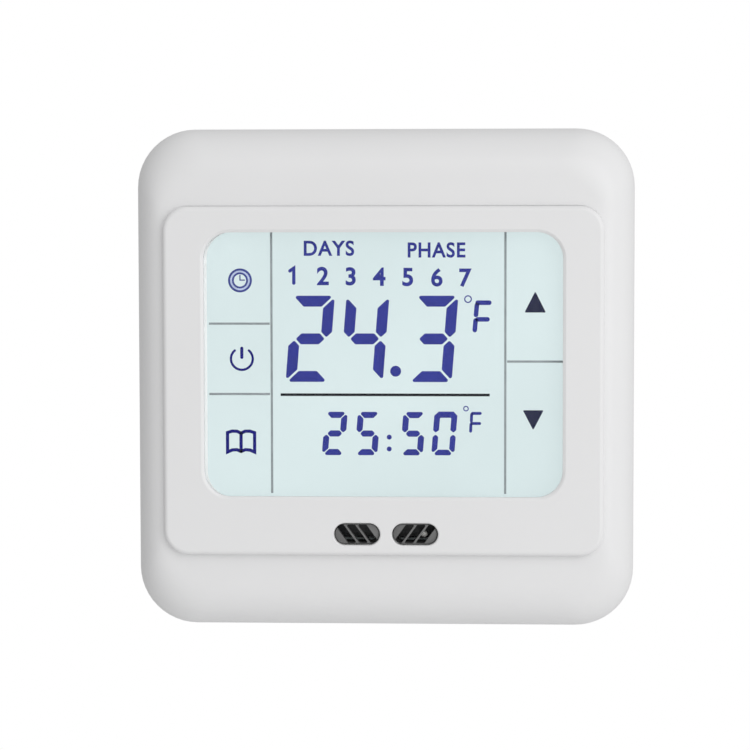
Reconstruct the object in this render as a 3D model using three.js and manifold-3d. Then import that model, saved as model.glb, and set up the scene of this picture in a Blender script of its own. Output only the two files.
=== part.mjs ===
// Flush-mounted wall thermostat with a touch screen, in millimetres.
//
// The origin is the centre of the wall plane. +Z is up, the screen faces -Y and the wall box is on +Y.
// The object comes apart in three stages: the front module pulls off the outer frame, the outer frame
// lifts off the base, and the base stays screwed to the wall box with its relay and its terminals.
import * as THREE from "three";
import { mergeVertices } from "three/addons/utils/BufferGeometryUtils.js";
import Module from "manifold-3d";

const wasm = await Module();
wasm.setup();

// ---------------------------------------------------------------- driving dimensions
const FACE = 86; // side of the square outer frame
const FACE_CORNER = 10;
const PROUD = 16; // wall plane to the front of the bezel
const BEHIND = 25; // wall plane to the back of the rear housing
const GAP = 0.35; // running gap round parts that pull apart
const SKIN = 2; // wall of the outer frame
const RIB_X = 24; // ribs inside its top and bottom
const RIB_THICK = 1.2;
const RIB_BACK = -4;

const SIDE_WALL = 4.2; // straight part of the outer frame's side
const CROWN = 10.6; // height of the rolled part in front of it
const ROLL_X = 5.6; // width of the roll at the left and right
const ROLL_Z = 8; // width of the roll at the top and bottom
const ROLL_POWER_X = 2;
const ROLL_POWER_Z = 2.3;

const BEZEL_W = 75;
const BEZEL_H = 59.5;
const BEZEL_CORNER = 4.2;
const BEZEL_EDGE = 1; // radius of its front edge
const BEZEL_PLATE = 2.2;
const PAST_PLATE = -10; // a depth well behind the bezel's plate, for cuts that go right through it
const BEZEL_RIM_BACK = -12.1; // back of the rim that lies on the frame's ledge
const SKIRT_STEP = 0.9; // how far the skirt stands in from the rim
const SKIRT_WALL = 1.1;
const FRONT_BACK = -3.4; // back of the front module

const WINDOW_W = 60.4;
const WINDOW_H = 45;
const WINDOW_X = 0.3;
const WINDOW_Z = 2.8;
const WINDOW_CORNER = 4.5;
const WINDOW_BEVEL = 0.8;
const WINDOW_BEVEL_DEPTH = 0.5;
const WINDOW_LIP = 1; // thickness of the bezel at the window

const VENT_W = 7.8;
const VENT_H = 3.7;
const VENT_MID = 0.5; // the pair of vents sits a little to the right of the middle
const VENT_X = 4.95;
const VENT_Z = -26.1;
const VENT_RIM = 0.4;
const GRILLE_FIT = 0.15; // gap between each grille and its hole
const GRILLE_FRONT = -15.2;
const GRILLE_BACK = -13.9; // back of the slotted plate
const DUCT_BACK = -11.4; // back of the short duct behind it
const SLOT_PITCH = 1.95;
const SLOT_WIDTH = 1.4;
const SLOT_LEAN = 36; // degrees from the vertical

const PANEL_W = 64.6; // touch panel, gasket and display glass
const PANEL_TOP = 27;
const PANEL_BOTTOM = -23.2;

const BOARD_FRONT = -7.4; // display board
const BOARD_THICK = 1.6;
const HEADER_Z = 16; // plug connection between the front and the base
const PIN_PITCH = 2.54;
const PIN_COLUMNS = 5;
const COVER_SCREW_X = 32;
const COVER_SCREW_Z = -25.6;

const YOKE = 71;
const YOKE_THICK = 1;
const WALL_SCREW_SPACING = 60;
const WALL_SLOT_W = 3.9;
const WALL_SLOT_L = 7;
const BASE_COVER_FRONT = -3;

const HOUSING = 49;
const HOUSING_CORNER = 10;
const HOUSING_WALL = 1.8;
const HOUSING_FRONT = 0.1;
const HOUSING_SCREW = 17.8; // x and z of the four housing screws
const POWER_BOARD_FRONT = 6;

const POLES = 6;
const POLE_PITCH = 6;
const TERMINAL_Z = -17.2; // screw axis
const TERMINAL_BACK = 24.4;
const CLAMP_TRAVEL = 2.2;

// ---------------------------------------------------------------- materials
const paint = (color, roughness, metalness = 0) =>
  new THREE.MeshStandardMaterial({ color, roughness, metalness });
const white = paint(0xe0e0df, 0.35);
const offWhite = paint(0xd8d8d2, 0.5);
const grey = paint(0x6b6b6b, 0.5);
const black = paint(0x1c1c1e, 0.5);
const clear = paint(0xd9e8e8, 0.1);
const displayGlass = paint(0xcfe0dd, 0.2);
const boardGreen = paint(0x1d6b3a, 0.5);
const steel = paint(0xb8babd, 0.35, 1);
const brass = paint(0xc9a75a, 0.35, 1);
const copper = paint(0xb36b3f, 0.4, 1);
const blue = paint(0x2c62b8, 0.5);
const yellow = paint(0xd9c23a, 0.5);
const rubber = paint(0x3a3a3c, 0.8);

// ---------------------------------------------------------------- solids
function solidOf(geometry) {
  const bare = geometry.index ? geometry.toNonIndexed() : geometry.clone();
  bare.deleteAttribute("normal");
  bare.deleteAttribute("uv");
  const merged = mergeVertices(bare, 1e-4);
  return new wasm.Manifold(
    new wasm.Mesh({
      numProp: 3,
      vertProperties: merged.attributes.position.array,
      triVerts: new Uint32Array(merged.index.array),
    }),
  );
}

function geometryOf(solid) {
  const mesh = solid.getMesh();
  const geometry = new THREE.BufferGeometry();
  geometry.setAttribute("position", new THREE.BufferAttribute(new Float32Array(mesh.vertProperties), 3));
  geometry.setIndex(new THREE.BufferAttribute(new Uint32Array(mesh.triVerts), 1));
  geometry.computeVertexNormals();
  return geometry;
}

const join = (...solids) => solids.reduce((a, b) => a.add(b));
const cut = (body, ...tools) => tools.reduce((a, b) => a.subtract(b), body);

function block(x0, x1, y0, y1, z0, z1) {
  const geometry = new THREE.BoxGeometry(x1 - x0, y1 - y0, z1 - z0);
  geometry.translate((x0 + x1) / 2, (y0 + y1) / 2, (z0 + z1) / 2);
  return solidOf(geometry);
}

// A shape drawn in X and Z, as a slab from yFront to yBack.
function slab(shape, yFront, yBack, arcSteps = 3) {
  const geometry = new THREE.ExtrudeGeometry(shape, {
    depth: yBack - yFront,
    bevelEnabled: false,
    curveSegments: arcSteps,
  });
  geometry.rotateX(Math.PI / 2);
  geometry.translate(0, yBack, 0);
  return solidOf(geometry);
}

function rod(radius, yFront, yBack, x, z, sides = 12) {
  const geometry = new THREE.CylinderGeometry(radius, radius, yBack - yFront, sides);
  geometry.translate(x, (yFront + yBack) / 2, z);
  return solidOf(geometry);
}

function roundedRect(width, height, radius, x = 0, z = 0) {
  const w = width / 2;
  const h = height / 2;
  const shape = new THREE.Shape();
  shape.moveTo(x - w + radius, z - h);
  shape.lineTo(x + w - radius, z - h);
  shape.absarc(x + w - radius, z - h + radius, radius, -Math.PI / 2, 0);
  shape.lineTo(x + w, z + h - radius);
  shape.absarc(x + w - radius, z + h - radius, radius, 0, Math.PI / 2);
  shape.lineTo(x - w + radius, z + h);
  shape.absarc(x - w + radius, z + h - radius, radius, Math.PI / 2, Math.PI);
  shape.lineTo(x - w, z - h + radius);
  shape.absarc(x - w + radius, z - h + radius, radius, Math.PI, Math.PI * 1.5);
  return shape;
}

// One ring of a loft: a rounded rectangle in X and Z at depth y.
function ring(y, halfX, halfZ, radius, x = 0, z = 0, steps = 5) {
  const points = [];
  for (let corner = 0; corner < 4; corner += 1) {
    const sx = corner === 0 || corner === 3 ? 1 : -1;
    const sz = corner < 2 ? 1 : -1;
    for (let i = 0; i <= steps; i += 1) {
      const angle = ((corner + i / steps) * Math.PI) / 2;
      points.push(
        new THREE.Vector3(
          x + sx * (halfX - radius) + radius * Math.cos(angle),
          y,
          z + sz * (halfZ - radius) + radius * Math.sin(angle),
        ),
      );
    }
  }
  return points;
}

// Skins a list of rings that run from back to front, and closes both ends with a fan.
function loft(rings) {
  const count = rings[0].length;
  const positions = rings.flat().flatMap((p) => [p.x, p.y, p.z]);
  const faces = [];
  for (let k = 0; k + 1 < rings.length; k += 1) {
    for (let i = 0; i < count; i += 1) {
      const a = k * count + i;
      const b = k * count + ((i + 1) % count);
      faces.push(a, b, a + count, b, b + count, a + count);
    }
  }
  const ends = [rings[0], rings[rings.length - 1]];
  ends.forEach((end, side) => {
    const middle = positions.length / 3;
    const centre = end.reduce((sum, p) => sum.add(p), new THREE.Vector3()).divideScalar(count);
    positions.push(centre.x, centre.y, centre.z);
    const first = side === 0 ? 0 : (rings.length - 1) * count;
    for (let i = 0; i < count; i += 1) {
      const a = first + i;
      const b = first + ((i + 1) % count);
      faces.push(...(side === 0 ? [middle, b, a] : [middle, a, b]));
    }
  });
  const geometry = new THREE.BufferGeometry();
  geometry.setAttribute("position", new THREE.Float32BufferAttribute(positions, 3));
  geometry.setIndex(faces);
  return solidOf(geometry);
}

// ---------------------------------------------------------------- the assembly
const thermostat = new THREE.Group();

function add(name, solid, material) {
  const mesh = new THREE.Mesh(geometryOf(solid), material);
  mesh.name = name;
  thermostat.add(mesh);
}

// ---------------------------------------------------------------- outer frame
// A soft cushion shape: straight sides at the wall, then a roll towards the middle on every side.
function cushion(inset, back) {
  const half = FACE / 2 - inset;
  const rings = [ring(back, half, half, FACE_CORNER - inset)];
  const levels = [0, 0.3, 0.55, 0.75, 0.88, 0.96, 1];
  for (const level of levels) {
    const inX = (ROLL_X - inset / 2) * (1 - (1 - level ** ROLL_POWER_X) ** (1 / ROLL_POWER_X));
    const inZ = (ROLL_Z - inset / 2) * (1 - (1 - level ** ROLL_POWER_Z) ** (1 / ROLL_POWER_Z));
    const radius = FACE_CORNER - inset - 0.3 * Math.min(inX, inZ);
    rings.push(ring(inset - SIDE_WALL - CROWN * level, half - inX, half - inZ, radius));
  }
  return loft(rings);
}

function buildOuterFrame() {
  const ledgeFront = BEZEL_RIM_BACK + 0.3;
  const ledgeBack = ledgeFront + SKIN;
  const recessW = BEZEL_W + 2 * GAP;
  const recessH = BEZEL_H + 2 * GAP;
  const skin = cushion(0, 0);
  const collar = slab(roundedRect(recessW + 2 * SKIN, recessH + 2 * SKIN, 6.2), -PROUD, ledgeBack);
  let shell = join(cut(skin, cushion(SKIN, 1)), collar.intersect(skin));
  for (const side of [-1, 1]) {
    for (const x of [-RIB_X, 0, RIB_X]) {
      const z = side * (FACE / 2 - SKIN - 3);
      const rib = block(x - RIB_THICK / 2, x + RIB_THICK / 2, -PROUD, RIB_BACK, z - 5, z + 4);
      shell = join(shell, rib.intersect(skin));
    }
  }
  const recess = slab(roundedRect(recessW, recessH, BEZEL_CORNER + GAP), -PROUD - 1, ledgeFront);
  const skirtHole = roundedRect(recessW - 2 * SKIRT_STEP, recessH - 2 * SKIRT_STEP, 3.2);
  add("outer_frame", cut(shell, recess, slab(skirtHole, -PROUD - 1, 1)), white);
}

// ---------------------------------------------------------------- front bezel
const SKIRT_W = BEZEL_W - 2 * SKIRT_STEP;
const SKIRT_H = BEZEL_H - 2 * SKIRT_STEP;
const INSIDE_W = SKIRT_W - 2 * SKIRT_WALL;
const INSIDE_H = SKIRT_H - 2 * SKIRT_WALL;
const TONGUE_X = 18; // four snap tongues, on the top and bottom edges
const TONGUE_W = 8;
const BARB = 0.6; // how far each tongue's barb stands inwards
const BARB_FRONT = -1.8;
const TONGUE_BACK = -1.3;
const TAB_X = 29; // two hooks of the display cover, in slots of the skirt
const TAB_W = 6;
const TAB_FRONT = -4.2;

function stadium(width, height, x, z) {
  return roundedRect(width, height, height / 2 - 0.01, x, z);
}

function buildBezel() {
  const halfW = BEZEL_W / 2;
  const halfH = BEZEL_H / 2;
  const rings = [ring(BEZEL_RIM_BACK, halfW, halfH, BEZEL_CORNER)];
  for (const degrees of [0, 30, 60, 90]) {
    const a = THREE.MathUtils.degToRad(degrees);
    const inset = BEZEL_EDGE * (1 - Math.cos(a));
    const y = -PROUD + BEZEL_EDGE * (1 - Math.sin(a));
    rings.push(ring(y, halfW - inset, halfH - inset, BEZEL_CORNER - inset));
  }
  let bezel = join(loft(rings), slab(roundedRect(SKIRT_W, SKIRT_H, 3), BEZEL_RIM_BACK - 1, FRONT_BACK));
  const plateBack = BEZEL_PLATE - PROUD;
  const inside = slab(roundedRect(INSIDE_W, INSIDE_H, 2), plateBack, 0);
  const pocket = block(
    -PANEL_W / 2 - 0.25,
    PANEL_W / 2 + 0.25,
    WINDOW_LIP - PROUD,
    0,
    PANEL_BOTTOM - 0.2,
    PANEL_TOP + 0.2,
  );
  const ribbonWay = block(RIBBON_X - 0.4, RIBBON_X + RIBBON_W + 0.4, TOUCH_BACK - 1, 0, -25.4, PANEL_BOTTOM);
  const windowRing = (y, out) =>
    ring(y, WINDOW_W / 2 + out, WINDOW_H / 2 + out, WINDOW_CORNER + out, WINDOW_X, WINDOW_Z);
  const windowCut = loft([
    windowRing(WINDOW_LIP - PROUD + 0.5, 0),
    windowRing(WINDOW_BEVEL_DEPTH - PROUD, 0),
    windowRing(-PROUD, WINDOW_BEVEL),
    windowRing(-PROUD - 0.1, WINDOW_BEVEL),
  ]);
  bezel = cut(bezel, inside, pocket, ribbonWay, windowCut);
  for (const side of [-1, 1]) {
    const vent = stadium(VENT_W, VENT_H, VENT_MID + side * VENT_X, VENT_Z);
    bezel = cut(bezel, slab(vent, -PROUD - 1, PAST_PLATE));
    for (const x of [-TONGUE_X, TONGUE_X]) {
      bezel = join(bezel, tongue(x, side));
    }
    const boss = rod(1.9, plateBack - 0.5, FRONT_BACK - 1.3, side * COVER_SCREW_X, COVER_SCREW_Z);
    const pilot = rod(0.95, PAST_PLATE, 0, side * COVER_SCREW_X, COVER_SCREW_Z, 8);
    bezel = cut(join(bezel, boss), pilot);
    const tabSlot = block(
      side * TAB_X - TAB_W / 2 - GAP,
      side * TAB_X + TAB_W / 2 + GAP,
      TAB_FRONT - GAP,
      TAB_FRONT + 0.9,
      INSIDE_H / 2 - 0.5,
      INSIDE_H / 2 + 1,
    );
    bezel = cut(bezel, tabSlot);
  }
  add("front_bezel", bezel, white);
}

// A snap tongue on the skirt's back edge, drawn sprung open, with its barb facing the middle.
function tongue(x, side) {
  const outer = SKIRT_H / 2;
  const inner = outer - SKIRT_WALL;
  const span = (low, high) => (side > 0 ? [low, high] : [-high, -low]);
  const x0 = x - TONGUE_W / 2;
  const x1 = x + TONGUE_W / 2;
  const arm = block(x0, x1, FRONT_BACK - 1, TONGUE_BACK, ...span(inner, outer));
  const barb = block(x0, x1, BARB_FRONT, TONGUE_BACK, ...span(inner - BARB, outer));
  return join(arm, barb);
}

// ---------------------------------------------------------------- vent grilles
// Each is a stadium with three leaning slots, set back in its hole, with a short duct behind it.
// The slots of the two lean towards each other.
function buildVentGrille(name, side) {
  const x = VENT_MID + side * VENT_X;
  const width = VENT_W - 2 * GRILLE_FIT;
  const height = VENT_H - 2 * GRILLE_FIT;
  const within = stadium(width - 2 * VENT_RIM, height - 2 * VENT_RIM, x, VENT_Z);
  let grille = cut(
    slab(stadium(width, height, x, VENT_Z), GRILLE_FRONT, DUCT_BACK),
    slab(within, GRILLE_BACK, PAST_PLATE),
  );
  for (const k of [-1, 0, 1]) {
    const slot = new THREE.BoxGeometry(SLOT_WIDTH, 8, 8);
    slot.rotateY(THREE.MathUtils.degToRad(side * SLOT_LEAN));
    slot.translate(x + k * SLOT_PITCH, -PROUD, VENT_Z);
    grille = cut(grille, solidOf(slot).intersect(slab(within, -PROUD, PAST_PLATE)));
  }
  add(name, grille, grey);
}

// ---------------------------------------------------------------- display stack
const TOUCH_FRONT = WINDOW_LIP - PROUD + 0.2;
const TOUCH_BACK = TOUCH_FRONT + 1.1;
const LCD_FRONT = -12.9;
const LCD_BACK = -10.9;
const CONTACT_TOP = -21.2; // the display's contact ledge lies below this height
const RIBBON_X = 16;
const RIBBON_W = 8;
const PANEL_MID = (PANEL_TOP + PANEL_BOTTOM) / 2;
const PANEL_H = PANEL_TOP - PANEL_BOTTOM;

function buildDisplay() {
  const outline = roundedRect(PANEL_W, PANEL_H, 1, 0, PANEL_MID);
  add("touch_panel", slab(outline, TOUCH_FRONT, TOUCH_BACK, 3), clear);
  const gasketHole = roundedRect(WINDOW_W + 1, WINDOW_H + 1, WINDOW_CORNER, WINDOW_X, WINDOW_Z);
  const gasket = cut(slab(outline, TOUCH_BACK + 0.2, LCD_FRONT - 0.2, 3), slab(gasketHole, -PROUD, 0));
  add("display_gasket", gasket, rubber);
  const half = PANEL_W / 2;
  const mid = (LCD_FRONT + LCD_BACK) / 2;
  const display = join(
    block(-half, half, LCD_FRONT, mid, PANEL_BOTTOM, PANEL_TOP),
    block(-half, half, mid, LCD_BACK, CONTACT_TOP, PANEL_TOP),
  );
  add("lcd_panel", display, displayGlass);

  const holderFront = LCD_BACK + 0.2;
  const holderBack = BOARD_FRONT - 0.2;
  const holder = cut(
    block(-half, half, holderFront, holderBack, PANEL_BOTTOM - 0.2, PANEL_TOP),
    block(-31.2, 31.2, -PROUD, 0, -20.6, 25.9),
    block(-30.6, 30.6, -PROUD, 0, PANEL_BOTTOM + 0.6, CONTACT_TOP - 0.2),
  );
  add("lcd_holder", holder, offWhite);
  add("backlight_guide", block(-31, 31, holderFront, holderBack, -20.4, 25.7), clear);
  const strip = block(-30.3, 30.3, mid + 0.1, BOARD_FRONT - 0.1, PANEL_BOTTOM + 0.8, CONTACT_TOP - 0.4);
  add("contact_strip", strip, rubber);
}

// A flat ribbon from the lower edge of the touch panel back to the display board.
function buildTouchRibbon() {
  const thick = 0.25;
  const profile = new THREE.Shape();
  const y0 = TOUCH_BACK - 0.7;
  const zTop = PANEL_BOTTOM - 0.2;
  const zLow = -24.8;
  profile.moveTo(y0, zTop);
  profile.lineTo(y0 + thick, zTop);
  profile.lineTo(y0 + thick, zLow + 1);
  profile.quadraticCurveTo(y0 + thick, zLow + thick, y0 + 1, zLow + thick);
  profile.lineTo(BOARD_FRONT - 0.2, zLow + thick);
  profile.lineTo(BOARD_FRONT - 0.2, zLow);
  profile.lineTo(y0 + 1, zLow);
  profile.quadraticCurveTo(y0, zLow, y0, zLow + 1);
  profile.closePath();
  const settings = { depth: RIBBON_W, bevelEnabled: false, curveSegments: 5 };
  const ribbon = new THREE.ExtrudeGeometry(profile, settings);
  // the profile's own axes are turned onto Y and Z, and its depth onto X
  ribbon.applyMatrix4(new THREE.Matrix4().set(0, 0, 1, RIBBON_X, 1, 0, 0, 0, 0, 1, 0, 0, 0, 0, 0, 1));
  add("touch_ribbon", solidOf(ribbon), yellow);
}

// ---------------------------------------------------------------- display board
const BOARD_BACK = BOARD_FRONT + BOARD_THICK;

function buildDisplayBoard() {
  let board = slab(roundedRect(INSIDE_W - 0.6, INSIDE_H - 0.6, 1), BOARD_FRONT, BOARD_BACK, 3);
  for (const x of [-COVER_SCREW_X, COVER_SCREW_X]) {
    board = cut(board, block(x - 4, x + 4, -PROUD, 0, -30, COVER_SCREW_Z + 2.4));
  }
  add("display_board", board, boardGreen);

  add("microcontroller", block(-17, -7, BOARD_BACK + 0.1, BOARD_BACK + 1.1, -6, 4), black);
  add("backup_cell", rod(3.4, BOARD_BACK + 0.1, BOARD_BACK + 1.5, 14, -2, 24), steel);

  const can = new THREE.CylinderGeometry(1, 1, 6, 12);
  can.rotateZ(Math.PI / 2);
  can.translate(-20, BOARD_FRONT - 1.2, -25.2);
  add("clock_crystal", solidOf(can), steel);
}

// The air sensor: a bead on two leads, inside the duct of the right-hand vent.
const BEAD_RADIUS = 0.6;
const BEAD_Z = VENT_Z - 0.3;

function buildAirSensor() {
  const beadX = 6.9;
  const beadY = -12.3;
  const bead = new THREE.SphereGeometry(BEAD_RADIUS, 10, 6);
  bead.translate(beadX, beadY, BEAD_Z);
  let sensor = solidOf(bead);
  for (const side of [-1, 1]) {
    sensor = join(sensor, rod(0.15, beadY, BOARD_FRONT - 0.1, beadX + side * 0.35, BEAD_Z, 6));
  }
  const footBack = BOARD_FRONT - 0.1;
  const foot = block(beadX - 0.9, beadX + 0.9, footBack - 0.5, footBack, BEAD_Z - 0.4, BEAD_Z + 0.4);
  add("air_sensor", join(sensor, foot), offWhite);
}

// Two rows of square pins in a plastic bar.
function buildHeaderPins() {
  const end = (PIN_COLUMNS * PIN_PITCH) / 2;
  const half = 0.32;
  const barFront = BOARD_BACK + 0.1;
  const barBack = BOARD_BACK + 2.4;
  let pins = block(-end, end, barFront, barBack, HEADER_Z - PIN_PITCH, HEADER_Z + PIN_PITCH);
  for (const [x, z] of pinPlaces()) {
    pins = join(pins, block(x - half, x + half, barBack - 1, 3.2, z - half, z + half));
  }
  add("header_pins", pins, black);
}

function pinPlaces() {
  const places = [];
  for (let i = 0; i < PIN_COLUMNS; i += 1) {
    const x = (i - (PIN_COLUMNS - 1) / 2) * PIN_PITCH;
    places.push([x, HEADER_Z - PIN_PITCH / 2], [x, HEADER_Z + PIN_PITCH / 2]);
  }
  return places;
}

// The plate that closes the front module from behind, held by two hooks and two screws.
const DISPLAY_COVER_FRONT = FRONT_BACK - 1;

function buildDisplayCover() {
  let cover = slab(roundedRect(INSIDE_W - 0.4, INSIDE_H - 0.4, 1.8), DISPLAY_COVER_FRONT, FRONT_BACK, 4);
  for (const side of [-1, 1]) {
    const x = side * TAB_X;
    const edge = INSIDE_H / 2;
    const hook = block(x - TAB_W / 2, x + TAB_W / 2, TAB_FRONT, TAB_FRONT + 0.6, edge - 1, edge + 0.7);
    cover = join(cover, hook);
  }
  const plug = block(-7.2, 7.2, -PROUD, 0, HEADER_Z - 3.3, HEADER_Z + 3.3);
  cover = cut(cover, plug, rod(4.3, -PROUD, 0, 14, -2, 20));
  for (const side of [-1, 1]) {
    cover = cut(cover, rod(1.2, -PROUD, 0, side * COVER_SCREW_X, COVER_SCREW_Z, 10));
    const x = side * WALL_SCREW_SPACING / 2;
    cover = cut(cover, block(x - 4.4, x + 4.4, -PROUD, 0, -5.5, 5.5));
  }
  for (const x of [-12, -6, 0, 6, 12]) {
    cover = cut(cover, block(x - 2, x + 2, -PROUD, 0, -23, -21.6));
  }
  add("display_cover", cover, offWhite);
}

// A screw along Y. turn is -1 where the head faces the front and 1 where it faces the wall box.
function screw({ x, z, headAt, turn, headR, headH, shankR, length, slotW }) {
  const span = (from, to) => [Math.min(from, to), Math.max(from, to)];
  const seat = headAt - turn * headH;
  const head = rod(headR, ...span(headAt, seat), x, z, 14);
  const shank = rod(shankR, ...span(seat + turn * 0.1, seat - turn * length), x, z, 8);
  const slotSpan = span(headAt - turn * headH * 0.55, headAt + turn);
  const across = block(x - headR * 0.62, x + headR * 0.62, ...slotSpan, z - slotW / 2, z + slotW / 2);
  const along = block(x - slotW / 2, x + slotW / 2, ...slotSpan, z - headR * 0.62, z + headR * 0.62);
  return cut(join(head, shank), across, along);
}

function buildCoverScrews() {
  for (const [name, side] of [["cover_screw_left", -1], ["cover_screw_right", 1]]) {
    const body = screw({
      x: side * COVER_SCREW_X,
      z: COVER_SCREW_Z,
      headAt: FRONT_BACK + 1,
      turn: 1,
      headR: 1.8,
      headH: 0.9,
      shankR: 0.8,
      length: 5,
      slotW: 0.5,
    });
    add(name, body, steel);
  }
}

// ---------------------------------------------------------------- base
function buildYoke() {
  let yoke = slab(roundedRect(YOKE, YOKE, 4), -YOKE_THICK, 0, 4);
  const opening = new THREE.Shape();
  const half = 22.5;
  const side = 9;
  const corners = [[half, side], [side, half], [-side, half], [-half, side]];
  opening.setFromPoints(
    [...corners, ...corners.map(([x, z]) => [-x, -z])].map(([x, z]) => new THREE.Vector2(x, z)),
  );
  yoke = cut(yoke, slab(opening, -5, 5));
  const at = WALL_SCREW_SPACING / 2;
  for (const sign of [-1, 1]) {
    yoke = cut(
      yoke,
      slab(stadium(WALL_SLOT_L, WALL_SLOT_W, 0, sign * at), -5, 5, 2),
      slab(roundedRect(WALL_SLOT_W, WALL_SLOT_L, WALL_SLOT_W / 2 - 0.01, sign * at, 0), -5, 5, 2),
    );
    for (const other of [-1, 1]) {
      yoke = cut(yoke, rod(1.7, -5, 5, sign * HOUSING_SCREW, other * HOUSING_SCREW));
    }
  }
  add("mounting_yoke", yoke, steel);
}

function buildBaseCover() {
  const width = INSIDE_W - 0.8;
  const height = INSIDE_H - 2 * (BARB + 0.15);
  const back = -YOKE_THICK - 0.1;
  let cover = slab(roundedRect(width, height, 1.6), BASE_COVER_FRONT, back);
  cover = cut(cover, block(-7.6, 7.6, -PROUD, 5, HEADER_Z - 3.7, HEADER_Z + 3.7));
  for (const side of [-1, 1]) {
    const x = side * (WALL_SCREW_SPACING / 2 + 1.5);
    cover = cut(cover, block(x - 6, x + 6, -PROUD, 5, -6, 6));
    cover = cut(cover, rod(2.3, -PROUD, BASE_COVER_FRONT + 0.9, side * COVER_SCREW_X, COVER_SCREW_Z));
    for (const other of [-1, 1]) {
      const sx = side * HOUSING_SCREW;
      const sz = other * HOUSING_SCREW;
      cover = cut(cover, rod(1.7, -PROUD, 5, sx, sz), rod(3.1, -PROUD, back - 0.5, sx, sz, 16));
      // room behind the cover's lip for the barb of a snap tongue
      const edge = other * (height / 2 - BARB);
      const barbRoom = block(
        side * TONGUE_X - TONGUE_W / 2 - 0.5,
        side * TONGUE_X + TONGUE_W / 2 + 0.5,
        BARB_FRONT - 0.15,
        5,
        Math.min(edge, other * FACE),
        Math.max(edge, other * FACE),
      );
      cover = cut(cover, barbRoom);
    }
  }
  add("base_cover", cover, offWhite);
}

const POWER_BOARD_BACK = POWER_BOARD_FRONT + BOARD_THICK;
const TERMINAL_TOP = -11.8;
const TERMINAL_BOTTOM = -23.4;
const TERMINAL_FRONT = POWER_BOARD_BACK + 0.2;
const TERMINAL_HALF = (POLES * POLE_PITCH) / 2;

function buildRearHousing() {
  const inner = HOUSING - 2 * HOUSING_WALL;
  const innerCorner = HOUSING_CORNER - HOUSING_WALL;
  let housing = cut(
    slab(roundedRect(HOUSING, HOUSING, HOUSING_CORNER), HOUSING_FRONT, BEHIND, 4),
    slab(roundedRect(inner, inner, innerCorner), -1, BEHIND - HOUSING_WALL, 4),
  );
  const walls = slab(roundedRect(HOUSING - 1, HOUSING - 1, HOUSING_CORNER - 0.5), HOUSING_FRONT, BEHIND, 4);
  for (const side of [-1, 1]) {
    for (const other of [-1, 1]) {
      const x = side * HOUSING_SCREW;
      const z = other * HOUSING_SCREW;
      const web = block(
        Math.min(x, side * 22),
        Math.max(x, side * 22),
        HOUSING_FRONT,
        POWER_BOARD_FRONT - 0.1,
        z - 0.7,
        z + 0.7,
      ).intersect(walls);
      housing = join(housing, rod(2.5, HOUSING_FRONT, POWER_BOARD_FRONT - 0.1, x, z), web);
      housing = cut(housing, rod(1.45, -1, POWER_BOARD_FRONT + 1, x, z, 8));
    }
  }
  const bay = TERMINAL_HALF + 0.25;
  housing = cut(housing, block(-bay, bay, TERMINAL_FRONT - 0.2, BEHIND + 1, -40, TERMINAL_TOP + 0.25));
  for (let i = -3; i <= 3; i += 1) {
    housing = cut(housing, block(i * 4 - 0.8, i * 4 + 0.8, BEHIND - 3, BEHIND + 1, 8, 18));
    housing = cut(housing, block(i * 4 - 0.8, i * 4 + 0.8, 11, 20, HOUSING / 2 - 3, HOUSING / 2 + 1));
  }
  add("rear_housing", housing, offWhite);
}

function buildHousingScrews() {
  let number = 1;
  for (const x of [-HOUSING_SCREW, HOUSING_SCREW]) {
    for (const z of [-HOUSING_SCREW, HOUSING_SCREW]) {
      const body = screw({
        x,
        z,
        headAt: BASE_COVER_FRONT + 0.05,
        turn: -1,
        headR: 2.7,
        headH: 1.25,
        shankR: 1.3,
        length: 7,
        slotW: 0.7,
      });
      add(`housing_screw_${number}`, body, steel);
      number += 1;
    }
  }
}

function buildPowerBoard() {
  const side = HOUSING - 2 * HOUSING_WALL - 0.8;
  const outline = roundedRect(side, side, HOUSING_CORNER - HOUSING_WALL - 0.4);
  const board = slab(outline, POWER_BOARD_FRONT, POWER_BOARD_BACK);
  add("power_board", board, boardGreen);

  const end = (PIN_COLUMNS * PIN_PITCH + 1) / 2;
  const rise = PIN_PITCH + 0.5;
  const half = 0.55;
  let socket = block(-end, end, -1.4, POWER_BOARD_FRONT - 0.1, HEADER_Z - rise, HEADER_Z + rise);
  for (const [x, z] of pinPlaces()) {
    socket = cut(socket, block(x - half, x + half, -5, 4, z - half, z + half));
  }
  add("pin_socket", socket, black);
}

// ---------------------------------------------------------------- relay
// A sealed box with a coil on its core, an L-shaped yoke, and an armature that tips on the yoke's leg.
const RELAY = { x0: -21, x1: -2, z0: 2, z1: 17.2, y0: POWER_BOARD_BACK + 0.2, y1: 22.9 };
const RELAY_PIVOT = { x: -18.5, y: 19.1 };

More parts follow.
